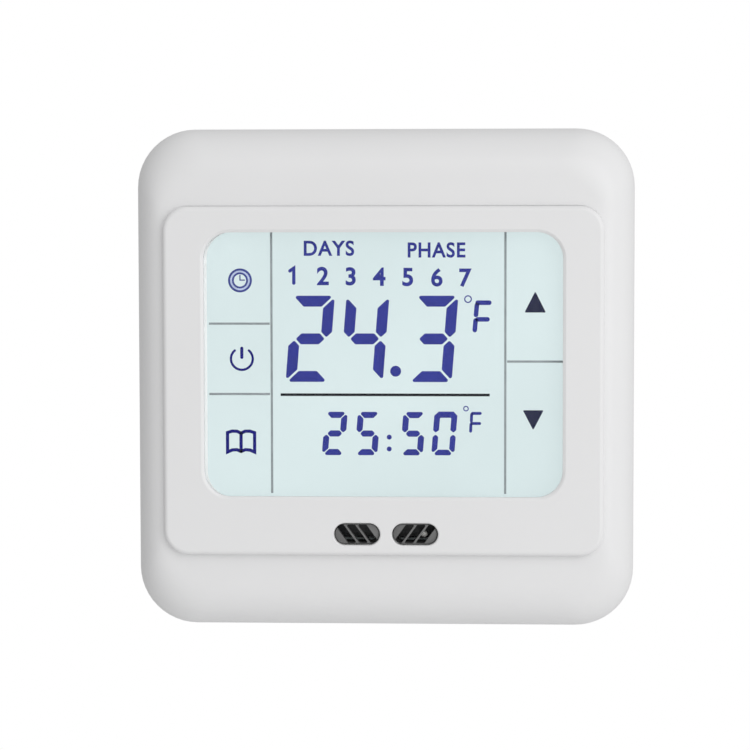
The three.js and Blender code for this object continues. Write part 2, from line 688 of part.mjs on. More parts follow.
function buildRelay() {
  const wall = 0.8;
  const { x0, x1, z0, z1, y0, y1 } = RELAY;
  const midZ = (z0 + z1) / 2;
  const box = cut(
    block(x0, x1, y0, y1, z0, z1),
    block(x0 + wall, x1 - wall, y0 - 1, y1 - wall, z0 + wall, z1 - wall),
  );
  add("relay_case", box, blue);
  const inset = wall + 0.1;
  add("relay_base", block(x0 + inset, x1 - inset, y0 + 0.1, y0 + 1.5, z0 + inset, z1 - inset), black);

  const footBack = y0 + 2.7;
  const foot = block(-19, -8.5, y0 + 1.7, footBack, midZ - 4, midZ + 4);
  const leg = block(-19, -18, y0 + 1.7, RELAY_PIVOT.y - 0.1, midZ - 4, midZ + 4);
  add("relay_yoke", join(foot, leg), steel);

  const coilX = -12.8;
  const coil = join(
    rod(4.1, footBack + 0.2, 18.1, coilX, midZ, 20),
    rod(4.8, footBack + 0.2, footBack + 1, coilX, midZ, 20),
    rod(4.8, 17.3, 18.1, coilX, midZ, 20),
    rod(2, 17, 18.6, coilX, midZ, 16),
  );
  add("relay_coil", coil, copper);

  const tipX = -5.6;
  const armature = join(
    block(-18.9, -8, RELAY_PIVOT.y + 0.1, RELAY_PIVOT.y + 0.9, midZ - 3.6, midZ + 3.6),
    block(-9, -4.6, RELAY_PIVOT.y + 0.5, RELAY_PIVOT.y + 0.8, midZ - 2, midZ + 2),
    rod(1.2, RELAY_PIVOT.y - 0.15, RELAY_PIVOT.y + 0.6, tipX, midZ, 12),
  );
  add("relay_armature", armature, steel);
  const post = join(
    block(tipX - 0.9, tipX + 0.9, y0 + 1.7, 17.6, midZ - 1.5, midZ + 1.5),
    rod(1.2, 17.4, 18, tipX, midZ, 12),
  );
  add("relay_fixed_contact", post, copper);
}

// ---------------------------------------------------------------- supply parts
function buildSupplyParts() {
  const y0 = POWER_BOARD_BACK + 0.2;
  const core = join(
    block(3, 17, y0, 20, 7, 10),
    block(3, 17, y0, 20, 15, 18),
    block(3, 17, y0 + 2, 18, 8, 17),
    block(1.5, 18.5, y0, y0 + 2.5, 8.5, 16.5),
  );
  add("supply_transformer", core, yellow);
  add("reservoir_capacitor", rod(4, y0, 19.6, 16, -4, 24), black);
  add("filter_capacitor", block(-20, -7, y0, 18.8, -9, -4), yellow);
  const disc = new THREE.CylinderGeometry(3.8, 3.8, 3.4, 20);
  disc.rotateX(Math.PI / 2);
  disc.translate(-1.8, y0 + 5, -6.5);
  const legs = block(-4.2, 0.6, y0, y0 + 3, -6.8, -6.2);
  add("surge_suppressor", join(solidOf(disc), legs), blue);
  add("line_fuse", rod(3.9, y0, 15.8, 6.9, -5.6, 24), grey);
}

// ---------------------------------------------------------------- terminals
// Turning a screw draws its clamp cage towards the head, and the cage pinches the wire on the bar.
const CAGE = { halfX: 2.1, z0: -19.6, z1: -14.8, y0: 12.5, y1: 18.5 };
const BAR = { halfX: 1.2, y0: 15.7, y1: 16.4 };
const SCREW_SEAT = 21.7;

const poleX = (pole) => (pole - (POLES - 1) / 2) * POLE_PITCH;

function buildTerminalBlock() {
  const half = TERMINAL_HALF;
  let body = block(-half, half, TERMINAL_FRONT, TERMINAL_BACK, TERMINAL_BOTTOM, TERMINAL_TOP);
  const room = { y0: CAGE.y0 - 0.3, y1: CAGE.y1 + CLAMP_TRAVEL + 0.3, z0: CAGE.z0 - 0.4, z1: CAGE.z1 + 0.4 };
  for (let pole = 0; pole < POLES; pole += 1) {
    const x = poleX(pole);
    const cavity = block(x - 2.35, x + 2.35, room.y0, room.y1, room.z0, room.z1);
    const entry = block(x - 1.9, x + 1.9, 13.2, 17, TERMINAL_BOTTOM - 1, CAGE.z0);
    const tail = block(x - 1.5, x + 1.5, TERMINAL_FRONT - 1, BAR.y1 + 0.3, CAGE.z1, -12.5);
    const well = rod(2.4, SCREW_SEAT - 0.1, TERMINAL_BACK + 1, x, TERMINAL_Z, 14);
    const bore = rod(1.55, CAGE.y1, SCREW_SEAT, x, TERMINAL_Z, 10);
    body = cut(body, cavity, entry, tail, well, bore);
  }
  add("terminal_block", body, black);
}

function buildPole(pole) {
  const x = poleX(pole);
  const number = pole + 1;
  const cage = cut(
    block(x - CAGE.halfX, x + CAGE.halfX, CAGE.y0, CAGE.y1, CAGE.z0, CAGE.z1),
    block(x - 1.4, x + 1.4, CAGE.y0 + 0.9, CAGE.y1 - 1.9, CAGE.z0 - 1, CAGE.z1 + 1),
    rod(1.5, CAGE.y0 + 2, CAGE.y1 + 1, x, TERMINAL_Z, 12),
  );
  add(`clamp_cage_${number}`, cage, steel);
  const body = screw({
    x,
    z: TERMINAL_Z,
    headAt: SCREW_SEAT + 1.8,
    turn: 1,
    headR: 2.1,
    headH: 1.8,
    shankR: 1.3,
    length: 5.1,
    slotW: 0.7,
  });
  add(`terminal_screw_${number}`, body, steel);
  const bar = join(
    block(x - BAR.halfX, x + BAR.halfX, BAR.y0, BAR.y1, -20, -12.9),
    block(x - BAR.halfX, x + BAR.halfX, TERMINAL_FRONT, BAR.y1, -13.6, -12.9),
  );
  add(`terminal_bar_${number}`, bar, brass);
}

buildOuterFrame();
buildBezel();
buildVentGrille("vent_grille_left", -1);
buildVentGrille("vent_grille_right", 1);
buildDisplay();
buildTouchRibbon();
buildDisplayBoard();
buildAirSensor();
buildHeaderPins();
buildDisplayCover();
buildCoverScrews();
buildYoke();
buildBaseCover();
buildRearHousing();
buildHousingScrews();
buildPowerBoard();
buildRelay();
buildSupplyParts();
buildTerminalBlock();
for (let pole = 0; pole < POLES; pole += 1) {
  buildPole(pole);
}

export default thermostat;
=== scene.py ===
"""Looks for a flush wall thermostat: shells, display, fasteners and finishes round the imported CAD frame.

Shapes are drawn in millimetres in the part's own frame: +Z up, the screen faces -Y, the wall is at y = 0.
"""

import math

import bmesh
import bpy
from mathutils import Matrix, Vector


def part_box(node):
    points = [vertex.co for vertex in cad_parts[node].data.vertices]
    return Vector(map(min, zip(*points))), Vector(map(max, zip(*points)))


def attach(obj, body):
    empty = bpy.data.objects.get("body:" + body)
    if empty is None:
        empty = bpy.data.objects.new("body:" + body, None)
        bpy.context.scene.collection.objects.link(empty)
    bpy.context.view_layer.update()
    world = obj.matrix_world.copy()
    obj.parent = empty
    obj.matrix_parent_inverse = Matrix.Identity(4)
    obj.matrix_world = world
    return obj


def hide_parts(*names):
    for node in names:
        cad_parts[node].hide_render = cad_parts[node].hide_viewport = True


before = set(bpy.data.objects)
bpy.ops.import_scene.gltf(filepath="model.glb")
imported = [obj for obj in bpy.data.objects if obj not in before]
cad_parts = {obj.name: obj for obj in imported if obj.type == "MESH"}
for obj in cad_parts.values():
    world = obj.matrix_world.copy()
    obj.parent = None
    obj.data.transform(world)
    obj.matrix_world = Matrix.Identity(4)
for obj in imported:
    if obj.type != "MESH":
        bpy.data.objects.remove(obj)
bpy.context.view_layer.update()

MM = 0.001  # metres in a millimetre
SIDES = (-1, 1)


# ------------------------------------------------------------------ sizes from the CAD frame
def span(node):
    """A CAD node's lowest and highest corners, in millimetres."""
    low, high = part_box(node)
    return low / MM, high / MM


def middle_of(node):
    low, high = span(node)
    return (low + high) / 2


IN_FRONT = -20.0  # a depth in front of every part, where cuts start
BEHIND_PLATE = 5.0  # a depth behind the wall plate, where cuts through it end

HALF = span("outer_frame")[1].x  # half the outer frame's side
CORNER = 10.0  # corner radius of the frame and of the rear housing
SIDE_WALL = 4.2  # straight part of the frame's side
LAND = -14.2  # the frame's front, where the roll ends
SKIN = 2.0  # thickness of the frame's wall

BEZEL_LOW, BEZEL_HIGH = span("front_bezel")
BEZEL_X = BEZEL_HIGH.x
BEZEL_Z = BEZEL_HIGH.z
BEZEL_FRONT = BEZEL_LOW.y
BEZEL_CORNER = 4.2
BEZEL_EDGE = 0.8  # radius of its front edge
RIM_BACK = -12.1  # back of the bezel's rim, which lies over the frame's ledge
FRONT_BACK = -3.4  # back edge of the bezel's skirt
SKIRT_STEP = 0.9  # from the rim's edge in to the skirt
SKIRT_WALL = 1.1
PLATE_BACK = BEZEL_FRONT + 2.2
HOOK_X = 29.0  # the display cover's hooks and their notches in the bezel
TONGUE_X = 18.0  # the bezel's snap tongues and their room in the base cover
SEAM = 0.03  # gap between the bezel and the frame's recess

WINDOW_X = 30.5  # half the window's width
WINDOW_Z = 22.5  # half its height
WINDOW_MID = 0.0
WINDOW_AT = 2.8  # height of its middle
SCREEN_MID = 0.3  # middle of what the display shows
WINDOW_CORNER = 4.5
LIP_FRONT = BEZEL_FRONT + 0.2
LIP_BACK = BEZEL_FRONT + 1.0

VENT_MID = 0.5  # middle of the pair of vents
VENT_X = 4.95  # from there to the middle of each
VENT_AT = -26.1
VENT_W = 7.8
VENT_H = 3.7

LCD_FRONT = span("lcd_panel")[0].y
HEADER_AT = 16.0
PIN_PITCH = 2.54
PIN_COLUMNS = 5
COVER_SCREW_X = 32.0
COVER_SCREW_AT = -25.6
HOUSING_SCREWS = [(x, z) for x in (-17.8, 17.8) for z in (-17.8, 17.8)]
WALL_SCREW_AT = 30.0
POLES = 6
POLE_PITCH = 6.0
TERMINAL_AT = -17.2


# ------------------------------------------------------------------ outlines
def ring(y, half_x, half_z, radius, x=0.0, z=0.0, steps=12):
    """A rounded rectangle in X and Z at depth y."""
    points = []
    for corner, (sx, sz) in enumerate(((1, 1), (-1, 1), (-1, -1), (1, -1))):
        for i in range(steps + 1):
            a = (corner + i / steps) * math.pi / 2
            px = x + sx * (half_x - radius) + radius * math.cos(a)
            pz = z + sz * (half_z - radius) + radius * math.sin(a)
            points.append(Vector((px, y, pz)))
    return points


def level_rings(levels, radius, x, y, steps):
    """Rounded rectangles in X and Y, from (z, half_x, half_y) levels."""
    rings = []
    for z, half_x, half_y in levels:
        outline = ring(0, half_x, half_y, radius, x, y, steps)
        rings.append([Vector((p.x, p.z, z)) for p in outline])
    return rings


def arc(x, z, radius, start, end, steps):
    """Points (x, z) on an arc, from start to end degrees."""
    angles = [math.radians(start + (end - start) * i / steps) for i in range(steps + 1)]
    return [(x + radius * math.cos(a), z + radius * math.sin(a)) for a in angles]


def rounded(points, radius, steps=4):
    """A polygon (x, z) with each corner turned into an arc of that radius."""
    made = []
    for i, here in enumerate(points):
        p = Vector(here)
        to_last = (Vector(points[i - 1]) - p).normalized()
        to_next = (Vector(points[(i + 1) % len(points)]) - p).normalized()
        half_turn = to_last.angle(to_next) / 2
        reach = radius / math.tan(half_turn)
        centre = p + (to_last + to_next).normalized() * radius / math.sin(half_turn)
        start = p + to_last * reach - centre
        end = p + to_next * reach - centre
        sweep = start.angle_signed(end)
        for k in range(steps + 1):
            turn = Matrix.Rotation(-sweep * k / steps, 2)
            made.append(tuple(centre + turn @ start))
    return made


def stroke(points, width, cap_steps=6):
    """The outline of an open pen line through points (x, z), with round ends."""
    line = [Vector(p) for p in points]
    normals = []
    for i in range(len(line)):
        before = (line[i] - line[i - 1]).normalized() if i > 0 else None
        after = (line[i + 1] - line[i]).normalized() if i + 1 < len(line) else None
        along = (before + after).normalized() if before and after else (before or after)
        widen = 1 / max(0.5, along.dot(after or before))
        normals.append(Vector((-along.y, along.x)) * widen * width / 2)
    left = [tuple(p + n) for p, n in zip(line, normals)]
    right = [tuple(p - n) for p, n in zip(line, normals)]

    def cap(centre, from_normal):
        a = math.degrees(math.atan2(from_normal.y, from_normal.x))
        return arc(centre.x, centre.y, width / 2, a, a - 180, cap_steps)[1:-1]

    return left + cap(line[-1], normals[-1]) + right[::-1] + cap(line[0], -normals[0])


# ------------------------------------------------------------------ solids
def add_skin(bm, rings, closed=False):
    """Skins rings of equal length. The ends are capped, or joined to each other when closed."""
    rows = [[bm.verts.new(p) for p in points] for points in rings]
    pairs = list(zip(rows, rows[1:]))
    if closed:
        pairs.append((rows[-1], rows[0]))
    count = len(rows[0])
    for low, high in pairs:
        for i in range(count):
            j = (i + 1) % count
            bm.faces.new((low[i], low[j], high[j], high[i]))
    if not closed:
        bm.faces.new(rows[0][::-1])
        bm.faces.new(rows[-1])


def add_plate(bm, outline, y0, y1):
    """An outline of (x, z) points as a slab from y0 to y1."""
    add_skin(bm, [[Vector((x, y, z)) for x, z in outline] for y in (y0, y1)])


def add_box(bm, x0, x1, y0, y1, z0, z1):
    add_plate(bm, [(x0, z0), (x1, z0), (x1, z1), (x0, z1)], y0, y1)


def add_rounded_box(bm, half_x, half_z, radius, y0, y1, x=0.0, z=0.0, steps=12):
    add_skin(bm, [ring(y, half_x, half_z, radius, x, z, steps) for y in (y0, y1)])


def add_turned(bm, profile, centre, axis="Y", sides=40):
    """Turns (radius, height) points, the first and last on the axis, about an axis through centre."""
    x, y, z = centre
    place = {
        "X": lambda a, b, h: (x + h, y + a, z + b),
        "Y": lambda a, b, h: (x + a, y + h, z + b),
        "Z": lambda a, b, h: (x + a, y + b, z + h),
    }[axis]
    rows = []
    for radius, height in profile:
        count = sides if radius > 0 else 1
        angles = [math.tau * i / sides for i in range(count)]
        spots = [place(radius * math.cos(a), radius * math.sin(a), height) for a in angles]
        rows.append([bm.verts.new(p) for p in spots])
    for low, high in zip(rows, rows[1:]):
        for i in range(sides):
            j = (i + 1) % sides
            corners = [low[i % len(low)], low[j % len(low)], high[j % len(high)], high[i % len(high)]]
            distinct = list(dict.fromkeys(corners))
            if len(distinct) > 2:
                bm.faces.new(distinct)


def add_rod(bm, radius, y0, y1, x, z, sides=32):
    add_turned(bm, [(0, y0), (radius, y0), (radius, y1), (0, y1)], (x, 0, z), sides=sides)


def add_wire(bm, path, radius, sides=10):
    """A round wire along a path of (x, y, z) points."""
    points = [Vector(p) for p in path]
    rings = []
    side = Vector((1, 0, 0))
    for i, p in enumerate(points):
        ahead = points[min(i + 1, len(points) - 1)] - points[max(i - 1, 0)]
        along = ahead.normalized()
        if abs(along.dot(side)) > 0.9:
            side = Vector((0, 0, 1))
        u = (side - along * along.dot(side)).normalized()
        v = along.cross(u)
        side = u
        turns = [math.tau * k / sides for k in range(sides)]
        rings.append([p + (u * math.cos(t) + v * math.sin(t)) * radius for t in turns])
    add_skin(bm, rings)


def solid(*builders):
    """A new mesh made by running each builder on it, with its faces turned outwards."""
    bm = bmesh.new()
    for build in builders:
        build(bm)
    bmesh.ops.recalc_face_normals(bm, faces=bm.faces)
    return bm


def shaped(add, *sizes, **options):
    """A new solid made by one of the add_ functions."""
    return solid(lambda bm: add(bm, *sizes, **options))


def shown_mesh(bm, name):
    """A Blender mesh in millimetres, and the bmesh is freed."""
    mesh = bpy.data.meshes.new(name)
    bm.to_mesh(mesh)
    bm.free()
    return mesh


def link(obj):
    bpy.context.scene.collection.objects.link(obj)
    return obj


def combine(body, tool, operation):
    """The exact boolean of two solids: DIFFERENCE, UNION or INTERSECT."""
    holders = []
    for bm in (body, tool):
        holders.append(link(bpy.data.objects.new("work", shown_mesh(bm, "work"))))
    modifier = holders[0].modifiers.new("combine", "BOOLEAN")
    modifier.operation = operation
    modifier.solver = "EXACT"
    modifier.use_self = True
    modifier.object = holders[1]
    graph = bpy.context.evaluated_depsgraph_get()
    result = bpy.data.meshes.new_from_object(holders[0].evaluated_get(graph))
    made = bmesh.new()
    made.from_mesh(result)
    for holder in holders:
        bpy.data.objects.remove(holder)
    bpy.data.meshes.remove(result)
    bmesh.ops.remove_doubles(made, verts=made.verts, dist=0.002)
    bmesh.ops.dissolve_degenerate(made, edges=made.edges, dist=0.002)
    return made


def cut(body, *builders):
    return combine(body, solid(*builders), "DIFFERENCE")


def join(body, *builders):
    return combine(body, solid(*builders), "UNION")


def soften(obj, width, segments=2, angle=35):
    """Rounds the sharp edges of a piece by width millimetres and keeps its flat faces flat."""
    bevel = obj.modifiers.new("edges", "BEVEL")
    bevel.limit_method = "ANGLE"
    bevel.angle_limit = math.radians(angle)
    bevel.width = width * MM
    bevel.segments = segments
    bevel.harden_normals = True
    bevel.use_clamp_overlap = True
    bevel.miter_outer = "MITER_ARC"


def keep_faces_flat(obj):
    """Takes each normal from the largest face there, so rounded edges don't shade the flat faces."""
    weighted = obj.modifiers.new("flat_faces", "WEIGHTED_NORMAL")
    weighted.keep_sharp = True
    weighted.weight = 100


def piece(name, parts, body, replaces=(), edge=0.0, segments=2, angle=35):
    """One shown piece from [(solid, material), ...], riding on a CAD body."""
    mesh = bpy.data.meshes.new(name)
    whole = bmesh.new()
    for index, (bm, material) in enumerate(parts):
        mesh.materials.append(material)
        for face in bm.faces:
            face.material_index = index
            face.smooth = True
        part = shown_mesh(bm, "part")
        whole.from_mesh(part)
        bpy.data.meshes.remove(part)
    whole.to_mesh(mesh)
    whole.free()
    mesh.transform(Matrix.Scale(MM, 4))
    mesh.set_sharp_from_angle(angle=math.radians(angle))
    obj = link(bpy.data.objects.new(name, mesh))
    if edge:
        soften(obj, edge, segments, angle)
    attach(obj, body)
    if replaces:
        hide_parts(*replaces)
    return obj


# ------------------------------------------------------------------ materials
def srgb(red, green, blue):
    """A linear colour from 0-255 screen values."""
    def linear(value):
        v = value / 255
        return v / 12.92 if v <= 0.04045 else ((v + 0.055) / 1.055) ** 2.4
    return (linear(red), linear(green), linear(blue), 1.0)


def shade(colour, factor):
    return tuple(min(1.0, c * factor) for c in colour[:3]) + (1.0,)


def node(tree, kind, settings=None, sockets=None):
    """A shader node with its properties set and its sockets given a value or linked."""
    made = tree.nodes.new(kind)
    for key, value in (settings or {}).items():
        setattr(made, key, value)
    for key, value in (sockets or {}).items():
        if isinstance(value, bpy.types.NodeSocket):
            tree.links.new(value, made.inputs[key])
        else:
            made.inputs[key].default_value = value
    return made


def noise(tree, where, size, detail=3.0, roughness=0.5):
    """Noise whose features are about size millimetres across."""
    sockets = {"Vector": where, "Scale": 1 / (size * MM), "Detail": detail, "Roughness": roughness}
    return node(tree, "ShaderNodeTexNoise", None, sockets).outputs["Fac"]


def ranged(tree, value, start, end, low, high, settings=None):
    """A value that runs from start to end, spread from low to high."""
    sockets = {"Value": value, "From Min": start, "From Max": end, "To Min": low, "To Max": high}
    return node(tree, "ShaderNodeMapRange", settings, sockets).outputs["Result"]


def scaled(tree, value, low, high):
    """Noise, which is mostly between 0.3 and 0.7, spread between low and high."""
    return ranged(tree, value, 0.3, 0.7, low, high)


def times(tree, first, second):
    return node(tree, "ShaderNodeMath", {"operation": "MULTIPLY"}, {0: first, 1: second}).outputs["Value"]


def object_place(tree):
    return node(tree, "ShaderNodeTexCoord").outputs["Object"]


def mixed(tree, factor, first, second):
    made = node(tree, "ShaderNodeMix", {"data_type": "RGBA"})
    for socket, value in (("Factor_Float", factor), ("A_Color", first), ("B_Color", second)):
        target = next(s for s in made.inputs if s.identifier == socket)
        if isinstance(value, bpy.types.NodeSocket):
            tree.links.new(value, target)
        else:
            target.default_value = value
    return next(s for s in made.outputs if s.identifier == "Result_Color")


UNSTRETCHED = (1, 1, 1)


def finish(
    name, colour, roughness, tint=0.03, blotch=12.0, grain=0.25, depth=0.004, swing=0.05,
    stretch=UNSTRETCHED, constants=None,
):
    """A procedural finish: slow colour and gloss variation, and a fine grain in the surface.

    blotch and grain are sizes in millimetres, depth is the grain's height, and stretch draws the grain
    out along an axis.
    """
    material = bpy.data.materials.new(name)
    material.use_nodes = True
    tree = material.node_tree
    shader = tree.nodes["Principled BSDF"]
    where = object_place(tree)
    drawn = node(tree, "ShaderNodeMapping", None, {"Vector": where, "Scale": stretch}).outputs["Vector"]
    slow = noise(tree, where, blotch)
    fine = noise(tree, drawn, grain, detail=4.0, roughness=0.6)
    tinted = mixed(tree, scaled(tree, slow, 0, 1), shade(colour, 1 - tint), shade(colour, 1 + tint))
    tree.links.new(tinted, shader.inputs["Base Color"])
    gloss = noise(tree, drawn, grain * 6, detail=2.0)
    tree.links.new(scaled(tree, gloss, roughness - swing, roughness + swing), shader.inputs["Roughness"])
    bump = node(tree, "ShaderNodeBump", None, {"Strength": 1.0, "Distance": depth * MM, "Height": fine})
    tree.links.new(bump.outputs["Normal"], shader.inputs["Normal"])
    for key, value in (constants or {}).items():
        shader.inputs[key].default_value = value
    return material


def metal(name, colour, roughness, **options):
    constants = {"Metallic": 1.0, **options.pop("constants", {})}
    settings = {"tint": 0.06, "blotch": 6.0, "grain": 0.2, "depth": 0.003, "swing": 0.08, **options}
    return finish(name, colour, roughness, constants=constants, **settings)


def edge_of(material):
    """The material's tree and shader, for the finishes that add something to the common recipe."""
    tree = material.node_tree
    return tree, tree.nodes["Principled BSDF"]


def glass_finish():
    """The clear touch panel: a faint haze of fine dimples, and very slight unevenness in its gloss."""
    clear = {"Transmission Weight": 1.0, "IOR": 1.18}
    grain = {"tint": 0.004, "blotch": 20.0, "grain": 0.6, "depth": 0.0004, "swing": 0.02}
    return finish("touch_panel_clear", (0.985, 0.995, 0.995, 1.0), 0.06, constants=clear, **grain)


def behind_glass(name, colour, roughness=0.4, **options):
    """A finish with the low gloss of a surface bonded behind the touch panel."""
    constants = {"Specular IOR Level": 0.1}
    settings = {"tint": 0.08, "blotch": 1.5, "grain": 0.1, "depth": 0.0005, "swing": 0.04, **options}
    return finish(name, colour, roughness, constants=constants, **settings)


def display_finish():
    """The lit liquid crystal face: pale cyan, a little brighter towards the lamps at its left edge."""
    body = shade(DISPLAY_COLOUR, DISPLAY_BODY)
    grain = {"tint": 0.01, "blotch": 18.0, "grain": 0.12, "depth": 0.0008, "swing": 0.03}
    material = behind_glass("display_face", body, 0.35, **grain)
    tree, shader = edge_of(material)
    where = object_place(tree)
    glow = scaled(tree, noise(tree, where, 30.0, detail=1.0), 0.97, 1.03)
    across = node(tree, "ShaderNodeSeparateXYZ", None, {"Vector": where}).outputs["X"]
    fall = ranged(tree, across, -0.03, 0.03, 1.01, 0.99)
    strength = times(tree, times(tree, glow, fall), DISPLAY_GLOW)
    tree.links.new(strength, shader.inputs["Emission Strength"])
    shader.inputs["Emission Color"].default_value = DISPLAY_COLOUR
    return material


def board_finish(name, mask, track):
    """Solder mask over copper: straight tracks show a little lighter."""
    material = finish(name, mask, 0.32, tint=0.06, blotch=5.0, grain=0.15, depth=0.002)
    tree, shader = edge_of(material)
    flat = node(tree, "ShaderNodeSeparateXYZ", None, {"Vector": object_place(tree)}).outputs
    on_face = node(tree, "ShaderNodeCombineXYZ", None, {"X": flat["X"], "Y": flat["Z"]}).outputs["Vector"]
    layout = {"offset": 0.37, "squash": 1.6, "squash_frequency": 3}
    black = (0, 0, 0, 1)
    bricks = {"Vector": on_face, "Color1": black, "Color2": black, "Mortar": (1, 1, 1, 1), "Scale": 1 / MM}
    bricks |= {"Mortar Size": 0.12, "Brick Width": 5.0, "Row Height": 1.27}
    tracks = node(tree, "ShaderNodeTexBrick", layout, bricks).outputs["Color"]
    base = shader.inputs["Base Color"].links[0].from_socket
    tree.links.new(mixed(tree, tracks, base, track), shader.inputs["Base Color"])
    return material


DISPLAY_COLOUR = srgb(217, 231, 232)
DISPLAY_BODY = 0.15  # the share of it that is there without the backlight
DISPLAY_GLOW = 0.86

WHITE = finish(
    "white_abs", (0.765, 0.765, 0.77, 1), 0.34, tint=0.008, blotch=25.0, grain=0.5, depth=0.0012, swing=0.04
)
INNER = finish("inner_white", srgb(214, 214, 210), 0.5, tint=0.015, blotch=14.0, grain=0.3, depth=0.008)
HOUSING = finish("housing_white", srgb(216, 216, 212), 0.48, tint=0.015, blotch=16.0, grain=0.35, depth=0.01)
GRILLE = finish("grille_grey", srgb(104, 104, 104), 0.38, tint=0.06, blotch=3.0, grain=0.15, depth=0.004)
DUCT = finish("duct_dark", srgb(20, 20, 21), 0.8, tint=0.1, blotch=2.0, grain=0.15, depth=0.006)
BLACK = finish("terminal_black", srgb(34, 35, 37), 0.45, tint=0.1, blotch=5.0, grain=0.2, depth=0.008)
CHIP = finish("moulded_black", srgb(26, 26, 28), 0.5, tint=0.12, blotch=2.0, grain=0.12, depth=0.006)
FOAM = finish("foam_pale", srgb(196, 202, 203), 0.9, tint=0.06, blotch=1.0, grain=0.3, depth=0.08)
TOUCH = glass_finish()
DISPLAY = display_finish()
# a painted highlight: the white band that shows only along the window's left edge
RIM_HIGHLIGHT_INK = behind_glass("painted_rim_highlight_white", srgb(247, 249, 249), tint=0.005, blotch=8.0)
DIGIT_INK = behind_glass("segment_blue", srgb(47, 53, 137))
CLOCK_INK = behind_glass("clock_blue", srgb(60, 68, 134))
PALE_INK = behind_glass("clock_band_blue", srgb(176, 186, 216))
ICON_INK = behind_glass("icon_navy", srgb(20, 20, 112))
ARROW_INK = behind_glass("arrow_slate", srgb(35, 38, 65))
LINE_INK = behind_glass("line_grey", srgb(140, 147, 150))
RULE_INK = behind_glass("rule_dark", srgb(24, 27, 32))
HAZY = {"Transmission Weight": 0.3}
GUIDE = finish("light_guide", srgb(232, 238, 238), 0.25, tint=0.01, grain=0.4, depth=0.01, constants=HAZY)
STRIPED = (1, 0.02, 0.02)
ZEBRA = finish("zebra_rubber", srgb(120, 116, 120), 0.7, tint=0.5, blotch=0.3, grain=0.2, stretch=STRIPED)
DRAWN = (1, 0.05, 0.05)
RIBBON = finish("polyimide_film", srgb(196, 128, 40), 0.2, tint=0.1, blotch=0.9, grain=0.4, stretch=DRAWN)
GREEN_BOARD = board_finish("solder_mask_green", srgb(30, 104, 58), srgb(52, 138, 78))
BLACK_BOARD = board_finish("solder_mask_black", srgb(20, 22, 24), srgb(38, 41, 44))
STEEL = metal("nickel_steel", srgb(196, 198, 202), 0.24)
ROLLED = (0.06, 1, 1)
ZINC = metal(
    "zinc_sheet", srgb(178, 182, 186), 0.36, tint=0.1, blotch=9.0, grain=0.12, depth=0.004, stretch=ROLLED
)
SCREW = metal("zinc_screw", srgb(188, 190, 194), 0.28, tint=0.08, blotch=1.5, grain=0.1, depth=0.004)
BRASS = metal("tinned_brass", srgb(206, 176, 108), 0.3, tint=0.08, blotch=2.0)
GOLD = metal("gold_pin", srgb(226, 188, 104), 0.22, tint=0.04, blotch=1.0)
BEAD = finish("sensor_epoxy", srgb(240, 240, 236), 0.15, tint=0.03, blotch=0.6, grain=0.1, depth=0.004)
RELAY_BLUE = finish("relay_blue", srgb(36, 88, 172), 0.35, tint=0.05, blotch=6.0, grain=0.3, depth=0.006)
COPPER = metal(
    "enamelled_copper", srgb(186, 96, 52), 0.3, blotch=3.0, grain=0.22, depth=0.03, stretch=(0.02, 1, 0.02)
)
TAPE = finish("yellow_tape", srgb(214, 184, 58), 0.35, tint=0.07, blotch=3.0, grain=0.5, depth=0.02)
FERRITE = finish("ferrite", srgb(52, 50, 52), 0.6, tint=0.12, blotch=1.5, grain=0.15, depth=0.02)
SLEEVE = finish("shrink_sleeve", srgb(36, 40, 66), 0.3, tint=0.08, blotch=4.0, grain=0.4, depth=0.004)
FILM_BOX = finish("film_yellow", srgb(206, 176, 58), 0.35, tint=0.04, blotch=4.0, grain=0.3, depth=0.006)
DISC_BLUE = finish("disc_blue", srgb(32, 84, 160), 0.25, tint=0.08, blotch=1.2, grain=0.6, depth=0.03)
FUSE = finish("fuse_brown", srgb(52, 40, 34), 0.4, tint=0.1, blotch=2.0, grain=0.2, depth=0.006)
NUMERAL = finish("numeral_white", srgb(222, 222, 218), 0.5, tint=0.03, blotch=0.8, grain=0.1, depth=0.002)


# ------------------------------------------------------------------ outer frame
ROLL_X = 5.6  # how wide the roll is at the left and right
ROLL_Z = 8.0  # and at the top and bottom
ROLL_POWER_X = 2.0  # 2 makes it round, and more makes it squarer
ROLL_POWER_Z = 2.3
ROLL_STEPS = 16


def roll_rings(inset):
    """Rings of the frame's outside from the wall to the front, or of its inside when inset isn't 0."""
    half = HALF - inset
    back = -0.3 if inset == 0 else 0.5
    rings = [ring(back, half, half, CORNER - inset)]
    if inset == 0:
        rings.insert(0, ring(0, half - 0.25, half - 0.25, CORNER - 0.25))
    crown = -LAND - SIDE_WALL
    for i in range(ROLL_STEPS + 1):
        level = math.sin(math.pi / 2 * i / ROLL_STEPS)
        in_x = (ROLL_X - inset / 2) * (1 - (1 - level**ROLL_POWER_X) ** (1 / ROLL_POWER_X))
        in_z = (ROLL_Z - inset / 2) * (1 - (1 - level**ROLL_POWER_Z) ** (1 / ROLL_POWER_Z))
        radius = CORNER - inset - 0.3 * min(in_x, in_z)
        rings.append(ring(inset - SIDE_WALL - crown * level, half - in_x, half - in_z, radius))
    return rings


